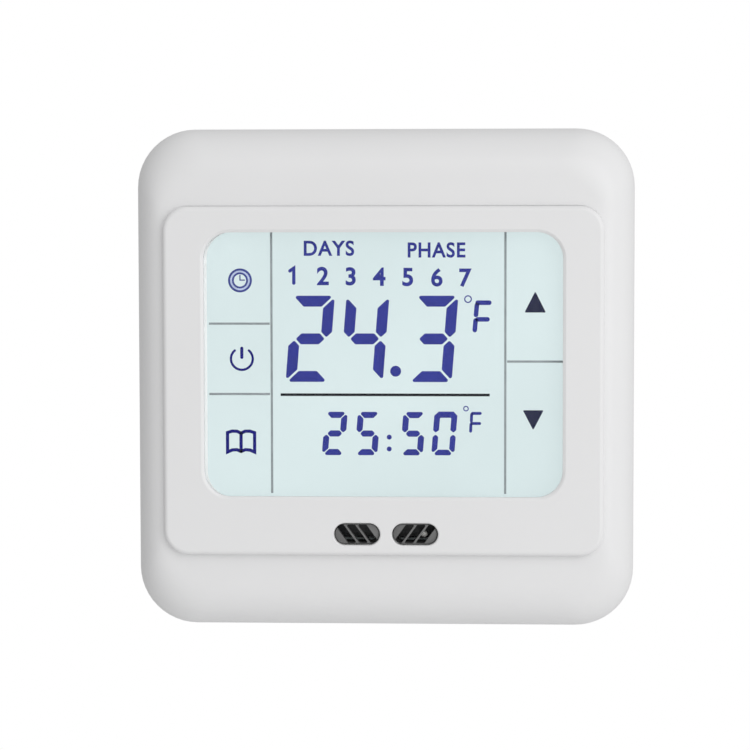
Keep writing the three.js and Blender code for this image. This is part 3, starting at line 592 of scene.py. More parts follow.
def build_outer_frame():
    recess_x = BEZEL_X + SEAM
    recess_z = BEZEL_Z + SEAM
    ledge = RIM_BACK + 0.3

    def kept_inside(bm):
        """The collar round the opening and the ribs, which the hollow leaves standing."""
        add_rounded_box(bm, recess_x + SKIN, recess_z + SKIN, 6.2, IN_FRONT, ledge + SKIN)
        for side in SIDES:
            for x in (-24, 0, 24):
                z = side * (HALF - SKIN - 3)
                add_box(bm, x - 0.6, x + 0.6, IN_FRONT, -4, z - 5, z + 5)

    def opening(bm):
        add_rounded_box(bm, recess_x, recess_z, BEZEL_CORNER + SEAM, IN_FRONT, ledge)
        add_rounded_box(bm, recess_x - SKIRT_STEP, recess_z - SKIRT_STEP, 3.2, IN_FRONT - 1, 1)

    hollow = cut(shaped(add_skin, roll_rings(SKIN)), kept_inside)
    shell = combine(shaped(add_skin, roll_rings(0)), hollow, "DIFFERENCE")
    shell = cut(shell, opening)
    piece("outer_frame_shell", [(shell, WHITE)], "outer_frame", ["outer_frame"], edge=0.1)


# ------------------------------------------------------------------ front bezel
EDGE_STEPS = 8


def bezel_rings():
    """The bezel's whole section: rim, skirt, inside, touch panel's pocket, window edge and rounded edge."""
    skirt_x = BEZEL_X - SKIRT_STEP
    skirt_z = BEZEL_Z - SKIRT_STEP
    pocket = (32.55, 25.3, 0.6)
    rings = [
        ring(RIM_BACK - 0.15, BEZEL_X, BEZEL_Z, BEZEL_CORNER),
        ring(RIM_BACK, BEZEL_X - 0.15, BEZEL_Z - 0.15, BEZEL_CORNER - 0.15),
        ring(RIM_BACK, skirt_x, skirt_z, 3),
        ring(FRONT_BACK - 0.2, skirt_x, skirt_z, 3),
        ring(FRONT_BACK, skirt_x - 0.2, skirt_z - 0.2, 2.8),
        ring(FRONT_BACK, skirt_x - SKIRT_WALL, skirt_z - SKIRT_WALL, 2),
        ring(PLATE_BACK, skirt_x - SKIRT_WALL, skirt_z - SKIRT_WALL, 2),
        ring(PLATE_BACK, *pocket, z=1.9),
        ring(LIP_BACK, *pocket, z=1.9),
    ]
    window_edge = [(0, LIP_BACK), (0, LIP_FRONT + 0.05), (0.04, LIP_FRONT), (0.4, BEZEL_FRONT + 0.06)]
    window_edge += [(0.48, BEZEL_FRONT + 0.02), (0.55, BEZEL_FRONT)]
    for out, y in window_edge:
        rings.append(ring(y, WINDOW_X + out, WINDOW_Z + out, WINDOW_CORNER + out, WINDOW_MID, WINDOW_AT))
    for i in range(EDGE_STEPS + 1):
        a = math.pi / 2 * i / EDGE_STEPS
        inset = BEZEL_EDGE * (1 - math.sin(a))
        y = BEZEL_FRONT + BEZEL_EDGE * (1 - math.cos(a))
        rings.append(ring(y, BEZEL_X - inset, BEZEL_Z - inset, BEZEL_CORNER - inset))
    return rings


def stadium_rings(side, levels, flat):
    """Rings of one vent from (y, inset) levels. flat is half the straight part of its ends."""
    rings = []
    for y, inset_by in levels:
        half_z = VENT_H / 2 - inset_by
        x = VENT_MID + side * VENT_X
        rings.append(ring(y, VENT_W / 2 - inset_by, half_z, half_z - flat, x, VENT_AT, steps=10))
    return rings


def add_vent_hole(bm, side):
    """A stadium hole with a softened front edge."""
    levels = [(-17, -0.45), (BEZEL_FRONT - 0.02, -0.3), (BEZEL_FRONT + 0.1, -0.12)]
    levels += [(BEZEL_FRONT + 0.25, -0.03), (BEZEL_FRONT + 0.4, 0), (-10, 0)]
    add_skin(bm, stadium_rings(side, levels, 0.005))


def add_tongue(bm, x, side):
    """A snap tongue on the skirt's back edge, with a barb facing the middle."""
    outer = BEZEL_Z - SKIRT_STEP
    inner = outer - SKIRT_WALL
    profile = [(FRONT_BACK - 1, outer), (FRONT_BACK - 1, inner), (-2.3, inner), (-1.8, inner - 0.6)]
    profile += [(-1.5, inner - 0.6), (-1.3, inner - 0.3), (-1.3, outer)]
    add_skin(bm, [[Vector((x + dx, y, side * z)) for y, z in profile] for dx in (-4, 4)])


def build_bezel():
    def tongues_and_posts(bm):
        for x in (-TONGUE_X, TONGUE_X):
            for side in SIDES:
                add_tongue(bm, x, side)
        for side in SIDES:
            add_rod(bm, 1.9, PLATE_BACK - 0.5, -4.7, side * COVER_SCREW_X, COVER_SCREW_AT)

    def holes(bm):
        for side in SIDES:
            add_vent_hole(bm, side)
        for side in SIDES:
            hook = side * HOOK_X
            add_rod(bm, 0.95, -10, 0, side * COVER_SCREW_X, COVER_SCREW_AT, sides=24)
            add_box(bm, hook - 3.35, hook + 3.35, -4.55, -3.3, 27.2, 28.7)
        add_box(bm, 15.6, 24.4, -14.7, -13, -25.4, -23)  # the ribbon's way through the ledge

    shell = shaped(add_skin, bezel_rings(), closed=True)
    shell = cut(join(shell, tongues_and_posts), holes)
    bezel = piece("front_bezel_shell", [(shell, WHITE)], "front_module", ["front_bezel"])
    keep_faces_flat(bezel)


# ------------------------------------------------------------------ vent grilles
GRILLE_FRONT = -15.2
GRILLE_BACK = -13.9
DUCT_WALL = 0.35
PLUG_FLAT = 0.01
SLOT_PITCH = 1.95
SLOT_LEAN = 36  # degrees


def build_vent_grille(name, side):
    """A stadium plug with three slots and a dark duct behind it. The two plugs' slots lean together."""
    x = VENT_MID + side * VENT_X
    fit = 0.1
    lean = math.radians(SLOT_LEAN) * side
    duct_back = span(name)[1].y

    def plug(bm):
        levels = [(GRILLE_BACK, fit), (GRILLE_FRONT + 0.3, fit), (GRILLE_FRONT + 0.08, fit + 0.08)]
        add_skin(bm, stadium_rings(side, levels + [(GRILLE_FRONT, fit + 0.28)], PLUG_FLAT))

    def slots(bm):
        half_w = 0.78  # measured along X
        reach = VENT_H / 2 - fit - 0.16
        shift = math.tan(lean) * reach
        for k in (-1, 0, 1):
            middle = x + k * SLOT_PITCH
            corners = [
                (middle - half_w - shift, VENT_AT - reach),
                (middle + half_w - shift, VENT_AT - reach),
                (middle + half_w + shift, VENT_AT + reach),
                (middle - half_w + shift, VENT_AT + reach),
            ]
            add_plate(bm, rounded(corners, 0.2), GRILLE_FRONT - 1, GRILLE_BACK + 1)

    def duct(bm):
        duct_front = GRILLE_BACK + 0.02
        lining = fit + DUCT_WALL
        levels = [(duct_front, fit), (duct_back, fit), (duct_back, lining), (duct_front, lining)]
        add_skin(bm, stadium_rings(side, levels, PLUG_FLAT), closed=True)

    shape = cut(solid(plug), slots)
    limit = shaped(add_skin, stadium_rings(side, [(IN_FRONT, fit), (0, fit)], PLUG_FLAT))
    shape = combine(shape, limit, "INTERSECT")
    parts = [(shape, GRILLE), (solid(duct), DUCT)]
    piece(f"{name}_plug", parts, "front_module", [name], edge=0.04)


# ------------------------------------------------------------------ display
INK_BACK = LCD_FRONT - 0.005
INK_FRONT = INK_BACK - 0.04
SPREAD = 1.013  # makes up for the display lying behind the window
DIGIT_LEAN = 4.5  # degrees
LARGE_DIGIT = {"width": 7.6, "height": 14.9, "thick": 2.2, "gap": 0.36, "radius": 0.28}
CLOCK_DIGIT = {"width": 4.0, "height": 7.5, "thick": 1.2, "gap": 0.16, "radius": 0.3}
CLOCK_FOOT = -15.5
CLOCK_AT = (-24.5, 14.1)  # the clock key
KEY_X = -24.25  # the power key
BOOK_X = -24.45  # the programme key


def on_screen(points):
    """Points given from the window's centre as it is seen, which the display behind it has to fill."""
    return [(SCREEN_MID + x * SPREAD, WINDOW_AT + z * SPREAD) for x, z in points]


def add_ink(bm, outline):
    add_plate(bm, on_screen(outline), INK_FRONT, INK_BACK)


def add_ink_bar(bm, x0, x1, z0, z1):
    add_ink(bm, [(x0, z0), (x1, z0), (x1, z1), (x0, z1)])


def add_ink_ring(bm, x, z, radius, width, start=0, end=360, steps=48):
    """A circle drawn with a pen of that width, or an open arc with round ends."""
    if end - start < 360:
        add_ink(bm, stroke(arc(x, z, radius, start, end, steps), width))
        return
    rings = []
    for r, y in ((0.5, INK_BACK), (0.5, INK_FRONT), (-0.5, INK_FRONT), (-0.5, INK_BACK)):
        points = on_screen(arc(x, z, radius + r * width, 0, 360, steps)[:-1])
        rings.append([Vector((px, y, pz)) for px, pz in points])
    add_skin(bm, rings, closed=True)


SEGMENTS = {
    "0": "abcdef",
    "2": "abged",
    "3": "abgcd",
    "4": "fgbc",
    "5": "afgcd",
}


def segment_outlines(width, height, thick, gap):
    """The seven mitred segments of an upright digit whose lower left corner is at 0, 0."""
    w, h, t = width, height, thick
    m = h / 2
    full = {
        "a": [(0, h), (t, h - t), (w - t, h - t), (w, h)],
        "b": [(w, h), (w - t, h - t), (w - t, m + t / 2), (w - t / 2, m), (w, m + t / 2)],
        "c": [(w, 0), (w, m - t / 2), (w - t / 2, m), (w - t, m - t / 2), (w - t, t)],
        "d": [(0, 0), (w, 0), (w - t, t), (t, t)],
        "e": [(0, 0), (t, t), (t, m - t / 2), (t / 2, m), (0, m - t / 2)],
        "f": [(0, h), (0, m + t / 2), (t / 2, m), (t, m + t / 2), (t, h - t)],
    }
    full["g"] = [(t / 2, m), (t, m - t / 2), (w - t, m - t / 2)]
    full["g"] += [(w - t / 2, m), (w - t, m + t / 2), (t, m + t / 2)]
    return {name: inset(points, gap / 2) for name, points in full.items()}


def inset(points, distance):
    """A convex polygon with every side moved in by distance."""
    area = sum(a[0] * b[1] - b[0] * a[1] for a, b in zip(points, points[1:] + points[:1]))
    ring_points = [Vector(p) for p in (points if area > 0 else points[::-1])]
    count = len(ring_points)
    lines = []
    for i in range(count):
        start = ring_points[i]
        along = (ring_points[(i + 1) % count] - start).normalized()
        lines.append((start + Vector((-along.y, along.x)) * distance, along))
    made = []
    for i in range(count):
        (p, d), (q, e) = lines[i - 1], lines[i]
        step = (q - p).cross(e) / d.cross(e)
        made.append(tuple(p + d * step))
    return made


def add_leaning(bm, outline, x, z):
    """An outline drawn leaning to the right, with its foot at x, z."""
    slope = math.tan(math.radians(DIGIT_LEAN))
    add_ink(bm, [(x + px + pz * slope, z + pz) for px, pz in outline])


def add_digit(bm, digit, x, z, width, height, thick, gap, radius):
    outlines = segment_outlines(width, height, thick, gap)
    for name in SEGMENTS[digit]:
        add_leaning(bm, rounded(outlines[name], radius), x, z)


def lettering(bm, text, x0, x1, z0, z1, weight):
    """Text in Blender's own font, fitted to a box on the screen, or centred on x1 when x0 is None."""
    curve = bpy.data.curves.new("text", "FONT")
    curve.body = text
    curve.offset = weight
    curve.extrude = 0.5
    curve.space_character = 1.1
    curve.resolution_u = 6
    holder = link(bpy.data.objects.new("text", curve))
    graph = bpy.context.evaluated_depsgraph_get()
    mesh = bpy.data.meshes.new_from_object(holder.evaluated_get(graph))
    bpy.data.objects.remove(holder)
    xs = [v.co.x for v in mesh.vertices]
    ys = [v.co.y for v in mesh.vertices]
    tall = (z1 - z0) / (max(ys) - min(ys))
    wide = tall if x0 is None else (x1 - x0) / (max(xs) - min(xs))
    left = x1 - wide * (max(xs) - min(xs)) / 2 if x0 is None else x0
    for v in mesh.vertices:
        across = left + (v.co.x - min(xs)) * wide
        up = z0 + (v.co.y - min(ys)) * tall
        x, z = on_screen([(across, up)])[0]
        v.co = (x, INK_BACK if v.co.z < 0 else INK_FRONT, z)
    part = bmesh.new()
    part.from_mesh(mesh)
    bmesh.ops.remove_doubles(part, verts=part.verts, dist=0.001)
    bmesh.ops.recalc_face_normals(part, faces=part.faces)
    part.to_mesh(mesh)
    part.free()
    bm.from_mesh(mesh)
    bpy.data.meshes.remove(mesh)


def add_dot(bm, x, z, radius, sides=24):
    add_ink(bm, arc(x, z, radius, 0, 360, sides)[:-1])


def draw_readings(bm):
    """The large reading and the clock, with their points."""
    for digit, x in (("2", -17.05), ("4", -7.85), ("3", 3.75)):
        add_digit(bm, digit, x, -3.2, **LARGE_DIGIT)
    add_dot(bm, 1.75, -1.2, 0.92)
    for digit, x in (("2", -10.85), ("5", -5.3), ("5", 2.38)):
        add_digit(bm, digit, x, CLOCK_FOOT, **CLOCK_DIGIT)
    add_zero(bm, 7.62, CLOCK_FOOT)
    for z in (-12.35, -14.35):
        add_dot(bm, 0.65, z, 0.42)


def add_zero(bm, x, z):
    """The last clock digit, whose top is one arch."""
    width, height = 4.1, 7.6
    outlines = segment_outlines(width, height, thick=1.15, gap=0.2)
    tip = height / 2 + 0.15
    foot = tip + 0.4
    inner, outer = 1.1, 0.1
    top = height - outer
    arch = [(outer, foot), (0.55, tip), (inner, foot), (inner, height - 1.15)]
    arch += [(width - inner, height - 1.15), (width - inner, foot)]
    arch += [(width - 0.55, tip), (width - outer, foot)]
    arch += [(width - outer, top - 0.7), (width - 0.8, top), (0.8, top), (outer, top - 0.7)]
    for outline in [rounded(arch, 0.15)] + [rounded(outlines[name], 0.3) for name in "cde"]:
        add_leaning(bm, outline, x, z)


def draw_units(bm):
    """The F beside each reading, its degree ring, the two headings and the day numbers."""
    big = [[(15.55, 10.35), (17.5, 10.35)], [(15.42, 9.95), (15.27, 8.3)], [(15.55, 7.55), (17.2, 7.55)]]
    big.append([(15.2, 7.35), (15.07, 5.75)])
    for line in big:
        add_ink(bm, stroke(line, 0.78))
    small = [[(14.7, -8.3), (16.0, -8.3)], [(14.55, -8.5), (14.5, -9.6)], [(14.7, -10.0), (15.9, -10.0)]]
    small.append([(14.45, -10.1), (14.38, -11.3)])
    for line in small:
        add_ink(bm, stroke(line, 0.5))
    add_ink_ring(bm, 13.93, 10.95, 0.55, 0.2)
    add_ink_ring(bm, 13.6, -7.5, 0.38, 0.18)
    lettering(bm, "DAYS", -13.7, -5.2, 18.2, 20.8, 0.024)
    lettering(bm, "PHASE", 3.8, 13.5, 17.9, 20.5, 0.024)
    for i, x in enumerate((-15.5, -10.5, -5.8, -1.0, 3.8, 8.7, 13.5)):
        drop = 0.06 * i
        if i == 0:
            add_ink(bm, stroke([(x - 0.55, 15.7), (x + 0.1, 16.15), (x + 0.1, 13.65)], 0.58))
        else:
            lettering(bm, str(i + 1), None, x, 13.35 - drop, 16.45 - drop, 0.027)


def draw_clock(bm):
    """The clock key's two rings and its hands."""
    x, z = CLOCK_AT
    add_ink_ring(bm, x, z, 1.84, 0.36)
    add_ink_ring(bm, x, z, 1.2, 0.32)
    add_ink(bm, stroke([(x, z + 0.85), (x, z + 0.05), (x + 0.75, z + 0.05)], 0.2))


def draw_clock_band(bm):
    """The paler band between the clock's rings."""
    add_ink_ring(bm, *CLOCK_AT, 1.51, 0.28)


def draw_icons(bm):
    """The power key and the programme book."""
    add_ink_ring(bm, KEY_X, 0.85, 1.85, 0.4, start=130, end=410)
    add_ink(bm, stroke([(KEY_X, 2.65), (KEY_X, 1.1)], 0.54))
    page = [(0, -11.75), (0.7, -11.42), (1.5, -11.4), (2.3, -11.65)]
    page += [(2.3, -14.95), (1.5, -14.6), (0.7, -14.55), (0, -14.85)]
    for side in SIDES:
        add_ink(bm, stroke([(BOOK_X + side * x, z) for x, z in page], 0.56))
    add_ink(bm, stroke([(BOOK_X, -11.8), (BOOK_X, -14.8)], 0.56))


def draw_arrows(bm):
    add_ink(bm, rounded([(23.4, 8.7), (27.0, 8.7), (25.2, 12.25)], 0.12))
    add_ink(bm, rounded([(26.65, -7.75), (23.15, -7.75), (24.9, -11.1)], 0.12))


def draw_lines(bm):
    """Thin lines that part the touch keys from the readings."""
    half = 0.19
    for x in (-19.2, 20.2):
        add_ink_bar(bm, x - half, x + half, -21.9, 22.2)
    for x0, x1, z in ((-29.8, -19.5, 6.8), (-29.8, -19.5, -5.1), (20.5, 29.9, 0.45)):
        add_ink_bar(bm, x0, x1, z - half, z + half)


def draw_rule(bm):
    """The heavier line between the readings."""
    add_ink_bar(bm, -17.7, 17.6, -5.42, -4.97)


def draw_painted_rim_highlight(bm):
    """The white band behind the touch panel, a painted highlight on the window's left edge. Its hole is
    right of the window, so it shows at the left.
    """
    high = span("touch_panel")[1]
    middle = middle_of("touch_panel")
    margin = 0.1
    thick = 0.05
    front = high.y + 0.03
    whole = (high.x - middle.x - margin, high.z - middle.z - margin, 0.5, middle.x, middle.z)
    hole = (WINDOW_X - 0.08, WINDOW_Z + 0.22, WINDOW_CORNER, WINDOW_MID + 0.28, WINDOW_AT - 0.12)
    outline = ((front + thick, whole), (front, whole), (front, hole), (front + thick, hole))
    add_skin(bm, [ring(y, *sizes) for y, sizes in outline], closed=True)


def build_display():
    layers = [
        # the painted highlight along the window's left edge
        ("painted_rim_highlight_band", [draw_painted_rim_highlight], RIM_HIGHLIGHT_INK),
        ("readings", [draw_readings, draw_units], DIGIT_INK),
        ("clock_key", [draw_clock], CLOCK_INK),
        ("clock_key_band", [draw_clock_band], PALE_INK),
        ("touch_key_icons", [draw_icons], ICON_INK),
        ("set_arrows", [draw_arrows], ARROW_INK),
        ("key_lines", [draw_lines], LINE_INK),
        ("clock_rule", [draw_rule], RULE_INK),
    ]
    for name, builders, ink in layers:
        piece(name, [(solid(*builders), ink)], "front_module")
    keep("lcd_panel", DISPLAY, 0.15)
    keep("touch_panel", TOUCH, 0.12).visible_shadow = False
    keep("display_gasket", FOAM, 0.06)


# ------------------------------------------------------------------ CAD nodes that stay
def keep(name, material, edge):
    """A CAD node shown as it is, with its edges rounded by modifiers and a finish of its own."""
    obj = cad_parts[name]
    if not obj.material_slots:
        obj.data.materials.append(material)
    for slot in obj.material_slots:
        slot.material = material
    weld = obj.modifiers.new("weld", "WELD")
    weld.merge_threshold = 0.002 * MM
    flat = obj.modifiers.new("flat", "DECIMATE")
    flat.decimate_type = "DISSOLVE"
    flat.angle_limit = math.radians(1)
    if edge:
        soften(obj, edge)
    return obj


def build_electronics():
    finishes = {
        "lcd_holder": (INNER, 0.15),
        "backlight_guide": (GUIDE, 0.2),
        "contact_strip": (ZEBRA, 0.15),
        "touch_ribbon": (RIBBON, 0.04),
        "display_board": (BLACK_BOARD, 0.08),
        "power_board": (GREEN_BOARD, 0.08),
        "pin_socket": (CHIP, 0.12),
        "relay_base": (CHIP, 0.15),
        "relay_case": (RELAY_BLUE, 0.35),
        "relay_yoke": (STEEL, 0.12),
        "relay_armature": (STEEL, 0.08),
        "relay_fixed_contact": (BRASS, 0.1),
        "filter_capacitor": (FILM_BOX, 0.6),
    }
    for name, (material, edge) in finishes.items():
        keep(name, material, edge)


# ------------------------------------------------------------------ screws and pins
def screw_solid(x, z, head_at, turn, head_radius, head_height, shank_radius, length, pitch):
    """A screw along Y with a crossed recess. turn is -1 with the head to the front, 1 with it behind."""
    dome = head_height * 0.45
    dome_steps = 6
    profile = [(0, 0)]
    for i in range(1, dome_steps + 1):
        a = math.pi / 2 * i / dome_steps
        profile.append((head_radius * math.sin(a), dome * (1 - math.cos(a))))
    profile += [(head_radius, head_height - 0.08), (head_radius - 0.08, head_height)]
    profile.append((shank_radius, head_height))
    depth = head_height + 0.4
    end = head_height + length - 0.02
    while depth + pitch < end - shank_radius:
        profile += [(shank_radius * 0.8, depth), (shank_radius, depth + pitch * 0.45)]
        profile.append((shank_radius, depth + pitch * 0.55))
        depth += pitch
    profile += [(shank_radius * 0.8, depth), (shank_radius * 0.45, end), (0, end)]
    body = shaped(add_turned, [(r, -turn * h) for r, h in profile], (x, head_at, z), sides=36)
    arm = head_radius * 0.62
    half = head_radius * 0.13
    sink = head_at - turn * head_height * 0.62

    def recess(bm):
        outline = []
        for quarter in range(4):
            turned = Matrix.Rotation(math.pi / 2 * quarter, 2)
            for corner in ((arm, -half), (arm, half), (half * 1.6, half * 1.6)):
                px, pz = turned @ Vector(corner)
                outline.append((x + px, z + pz))
        add_plate(bm, outline, min(sink, head_at + turn), max(sink, head_at + turn))

    return cut(body, recess)


# head radius, head height, shank radius, length under the head and thread pitch
COVER_SCREW = (1.8, 0.9, 0.8, 5, 0.6)
HOUSING_SCREW = (2.7, 1.25, 1.3, 7, 0.9)
TERMINAL_SCREW = (2.1, 1.8, 1.3, 5.1, 0.5)


def build_screw(name, x, z, head_at, turn, sizes, body, edge=0.04):
    shape = screw_solid(x, z, head_at, turn, *sizes)
    piece(f"{name}_body", [(shape, SCREW)], body, [name], edge=edge, angle=50)


def build_screws():
    for name, side in (("cover_screw_left", -1), ("cover_screw_right", 1)):
        x = side * COVER_SCREW_X
        build_screw(name, x, COVER_SCREW_AT, FRONT_BACK + 1, 1, COVER_SCREW, "front_module")
    for number, (x, z) in enumerate(HOUSING_SCREWS, 1):
        build_screw(f"housing_screw_{number}", x, z, -2.95, -1, HOUSING_SCREW, "base", edge=0.05)


def build_header():
    """Square pins with tapered tips in a notched plastic bar."""
    low, high = span("header_pins")
    bar_back = low.y + 2.3
    columns = [(i - (PIN_COLUMNS - 1) / 2) * PIN_PITCH for i in range(PIN_COLUMNS)]

    def add_bars(bm):
        for x in columns:
            add_rounded_box(bm, PIN_PITCH / 2, PIN_PITCH, 0.35, low.y, bar_back, x, HEADER_AT, steps=1)

    def add_pins(bm):
        half = 0.32
        levels = [(bar_back - 1, half), (high.y - 0.6, half), (high.y, half * 0.45)]
        for x in columns:
            for side in SIDES:
                z = HEADER_AT + side * PIN_PITCH / 2
                add_skin(bm, [ring(y, w, w, w * 0.15, x, z, steps=1) for y, w in levels])

    parts = [(solid(add_bars), CHIP), (solid(add_pins), GOLD)]
    piece("header_pin_block", parts, "front_module", ["header_pins"])


def build_air_sensor():
    """A dipped bead on two bent tinned leads, inside the right-hand duct."""
    low, high = span("air_sensor")
    x = middle_of("air_sensor").x
    z = VENT_AT - 0.3
    radius = 0.6
    steps = 12
    profile = []
    for i in range(steps + 1):
        a = math.pi * i / steps
        drawn_out = 1.0 + (0.35 if i > steps / 2 else 0.0) * math.sin(a / 2) ** 4
        profile.append((radius * math.sin(a), -radius * math.cos(a) * drawn_out))
    profile[0], profile[-1] = (0, profile[0][1]), (0, profile[-1][1])
    bead = shaped(add_turned, profile, (x, low.y + radius, z))

    def add_leads(bm):
        for side in SIDES:
            path = [(x + side * 0.2, low.y + 0.8, z), (x + side * 0.25, low.y + 1.6, z)]
            path += [(x + side * 0.45, low.y + 2.6, z), (x + side * 0.45, high.y, z)]
            add_wire(bm, path, 0.15)

    foot = shaped(add_box, x - 0.9, x + 0.9, high.y - 0.5, high.y, z - 0.4, z + 0.4)
    parts = [(bead, BEAD), (solid(add_leads), STEEL), (foot, CHIP)]
    piece("air_sensor_bead", parts, "front_module", ["air_sensor"])


# ------------------------------------------------------------------ covers and the wall plate
def build_display_cover():
    """The moulded back of the front module, with its plug window, screw room and slots."""
    low, high = span("display_cover")
    half_z = -low.z

    def hooks(bm):
        for side in SIDES:
            add_box(bm, side * HOOK_X - 3, side * HOOK_X + 3, -4.2, -3.6, half_z - 1, high.z)

    def holes(bm):
        add_rounded_box(bm, 7.2, 3.3, 0.6, IN_FRONT, 0, z=HEADER_AT, steps=4)
        add_rod(bm, 4.3, IN_FRONT, 0, 14, -2, sides=48)  # room for the backup cell
        for side in SIDES:
            add_rod(bm, 1.2, IN_FRONT, 0, side * COVER_SCREW_X, COVER_SCREW_AT)
            add_rounded_box(bm, 4.4, 5.5, 1, IN_FRONT, 0, x=side * WALL_SCREW_AT, steps=5)
        for x in (-12, -6, 0, 6, 12):
            add_rounded_box(bm, 2, 0.7, 0.69, IN_FRONT, 0, x=x, z=-22.3, steps=6)

    plate = shaped(add_rounded_box, high.x, half_z, 1.8, low.y, high.y)
    parts = [(cut(join(plate, hooks), holes), INNER)]
    piece("display_cover_plate", parts, "front_module", ["display_cover"], edge=0.14)


def build_base_cover():
    """The plate that the front plugs onto, with sunk screws and windows for the wall screws."""
    low, high = span("base_cover")
    barb_room = high.z - 0.6

    def holes(bm):
        add_rounded_box(bm, 7.6, 3.7, 0.6, IN_FRONT, BEHIND_PLATE, z=HEADER_AT, steps=4)
        for side in SIDES:
            window = side * (WALL_SCREW_AT + 1.5)
            add_rounded_box(bm, 6, 6, 1, IN_FRONT, BEHIND_PLATE, x=window, steps=5)
            add_rod(bm, 2.3, IN_FRONT, low.y + 0.9, side * COVER_SCREW_X, COVER_SCREW_AT)
            z0, z1 = sorted((side * barb_room, side * 40))
            for x in (-TONGUE_X, TONGUE_X):
                add_box(bm, x - 4.5, x + 4.5, -1.95, BEHIND_PLATE, z0, z1)
        for x, z in HOUSING_SCREWS:
            add_rod(bm, 1.7, IN_FRONT, BEHIND_PLATE, x, z)
            add_rod(bm, 3.1, IN_FRONT, high.y - 0.5, x, z, sides=48)

    plate = shaped(add_rounded_box, high.x, high.z, 1.6, low.y, high.y)
    parts = [(cut(plate, holes), INNER)]
    piece("base_cover_plate", parts, "base", ["base_cover"], edge=0.14)


def build_yoke():
    """The stamped wall plate."""
    low, high = span("mounting_yoke")
    far, near = 22.5, 9  # the opening's sides, and where its cut corners start
    opening = [(far, near), (near, far), (-near, far), (-far, near)]
    opening += [(-x, -z) for x, z in opening]
    through = (-BEHIND_PLATE, BEHIND_PLATE)

    def holes(bm):
        add_plate(bm, rounded(opening, 1.5), *through)
        for side in SIDES:
            add_rounded_box(bm, 3.5, 1.95, 1.94, *through, z=side * WALL_SCREW_AT)
            add_rounded_box(bm, 1.95, 3.5, 1.94, *through, x=side * WALL_SCREW_AT)
        for x, z in HOUSING_SCREWS:
            add_rod(bm, 1.7, *through, x, z)

    plate = shaped(add_rounded_box, high.x, high.z, 4, low.y, high.y)
    piece("wall_plate", [(cut(plate, holes), ZINC)], "base", ["mounting_yoke"], edge=0.12)


# ------------------------------------------------------------------ rear housing
def build_rear_housing():
    """The box behind the wall plate, with screw posts, cooling slots and the terminals' bay."""
    low, high = span("rear_housing")
    half = high.x
    wall = 1.8
    bay = POLES * POLE_PITCH / 2 + 0.25
    back_round = 0.9
    round_steps = 5
    post_back = 5.9
    slot_pitch = 4

    def outside(bm):
        rings = [ring(low.y, half, half, CORNER)]
        for i in range(round_steps + 1):
            a = math.pi / 2 * i / round_steps
            inset_by = back_round * (1 - math.cos(a))
            y = high.y - back_round * (1 - math.sin(a))
            rings.append(ring(y, half - inset_by, half - inset_by, CORNER - inset_by))
        add_skin(bm, rings)

    def inside(bm):
        add_rounded_box(bm, half - wall, half - wall, CORNER - wall, -1, high.y - wall)

    def posts(bm):
        for x, z in HOUSING_SCREWS:
            x0, x1 = sorted((x, math.copysign(22.6, x)))
            add_rod(bm, 2.5, low.y, post_back, x, z)
            add_box(bm, x0, x1, low.y, post_back, z - 0.7, z + 0.7)

    def holes(bm):
        add_box(bm, -bay, bay, 7.6, 30, -40, -11.55)
        for x, z in HOUSING_SCREWS:
            add_rod(bm, 1.45, -1, 7, x, z, sides=24)
        for i in range(-3, 4):
            add_rounded_box(bm, 0.8, 5, 0.79, 22, 30, x=i * slot_pitch, z=13, steps=6)
            top = [(half - 3, 0.8, 4.5), (half + 1, 0.8, 4.5)]
            add_skin(bm, level_rings(top, 0.79, i * slot_pitch, 15.5, steps=6))

    shell = cut(join(cut(solid(outside), inside), posts), holes)
    piece("rear_housing_shell", [(shell, HOUSING)], "base", ["rear_housing"], edge=0.16)


# ------------------------------------------------------------------ terminals
def pole_x(pole):
    return (pole - (POLES - 1) / 2) * POLE_PITCH


def facing_wall(bm, text, x, z, height, y):
    """A raised numeral that reads from behind."""
    part = bmesh.new()
    lettering(part, text, None, 0, 0, height, 0.01)
    for v in part.verts:
        out = 0.1 if v.co.y < INK_BACK - 0.01 else -0.1
        v.co = Vector((x - v.co.x + SCREEN_MID, y + out, z + v.co.z - WINDOW_AT))
    mesh = shown_mesh(part, "numeral")
    bm.from_mesh(mesh)
    bpy.data.meshes.remove(mesh)


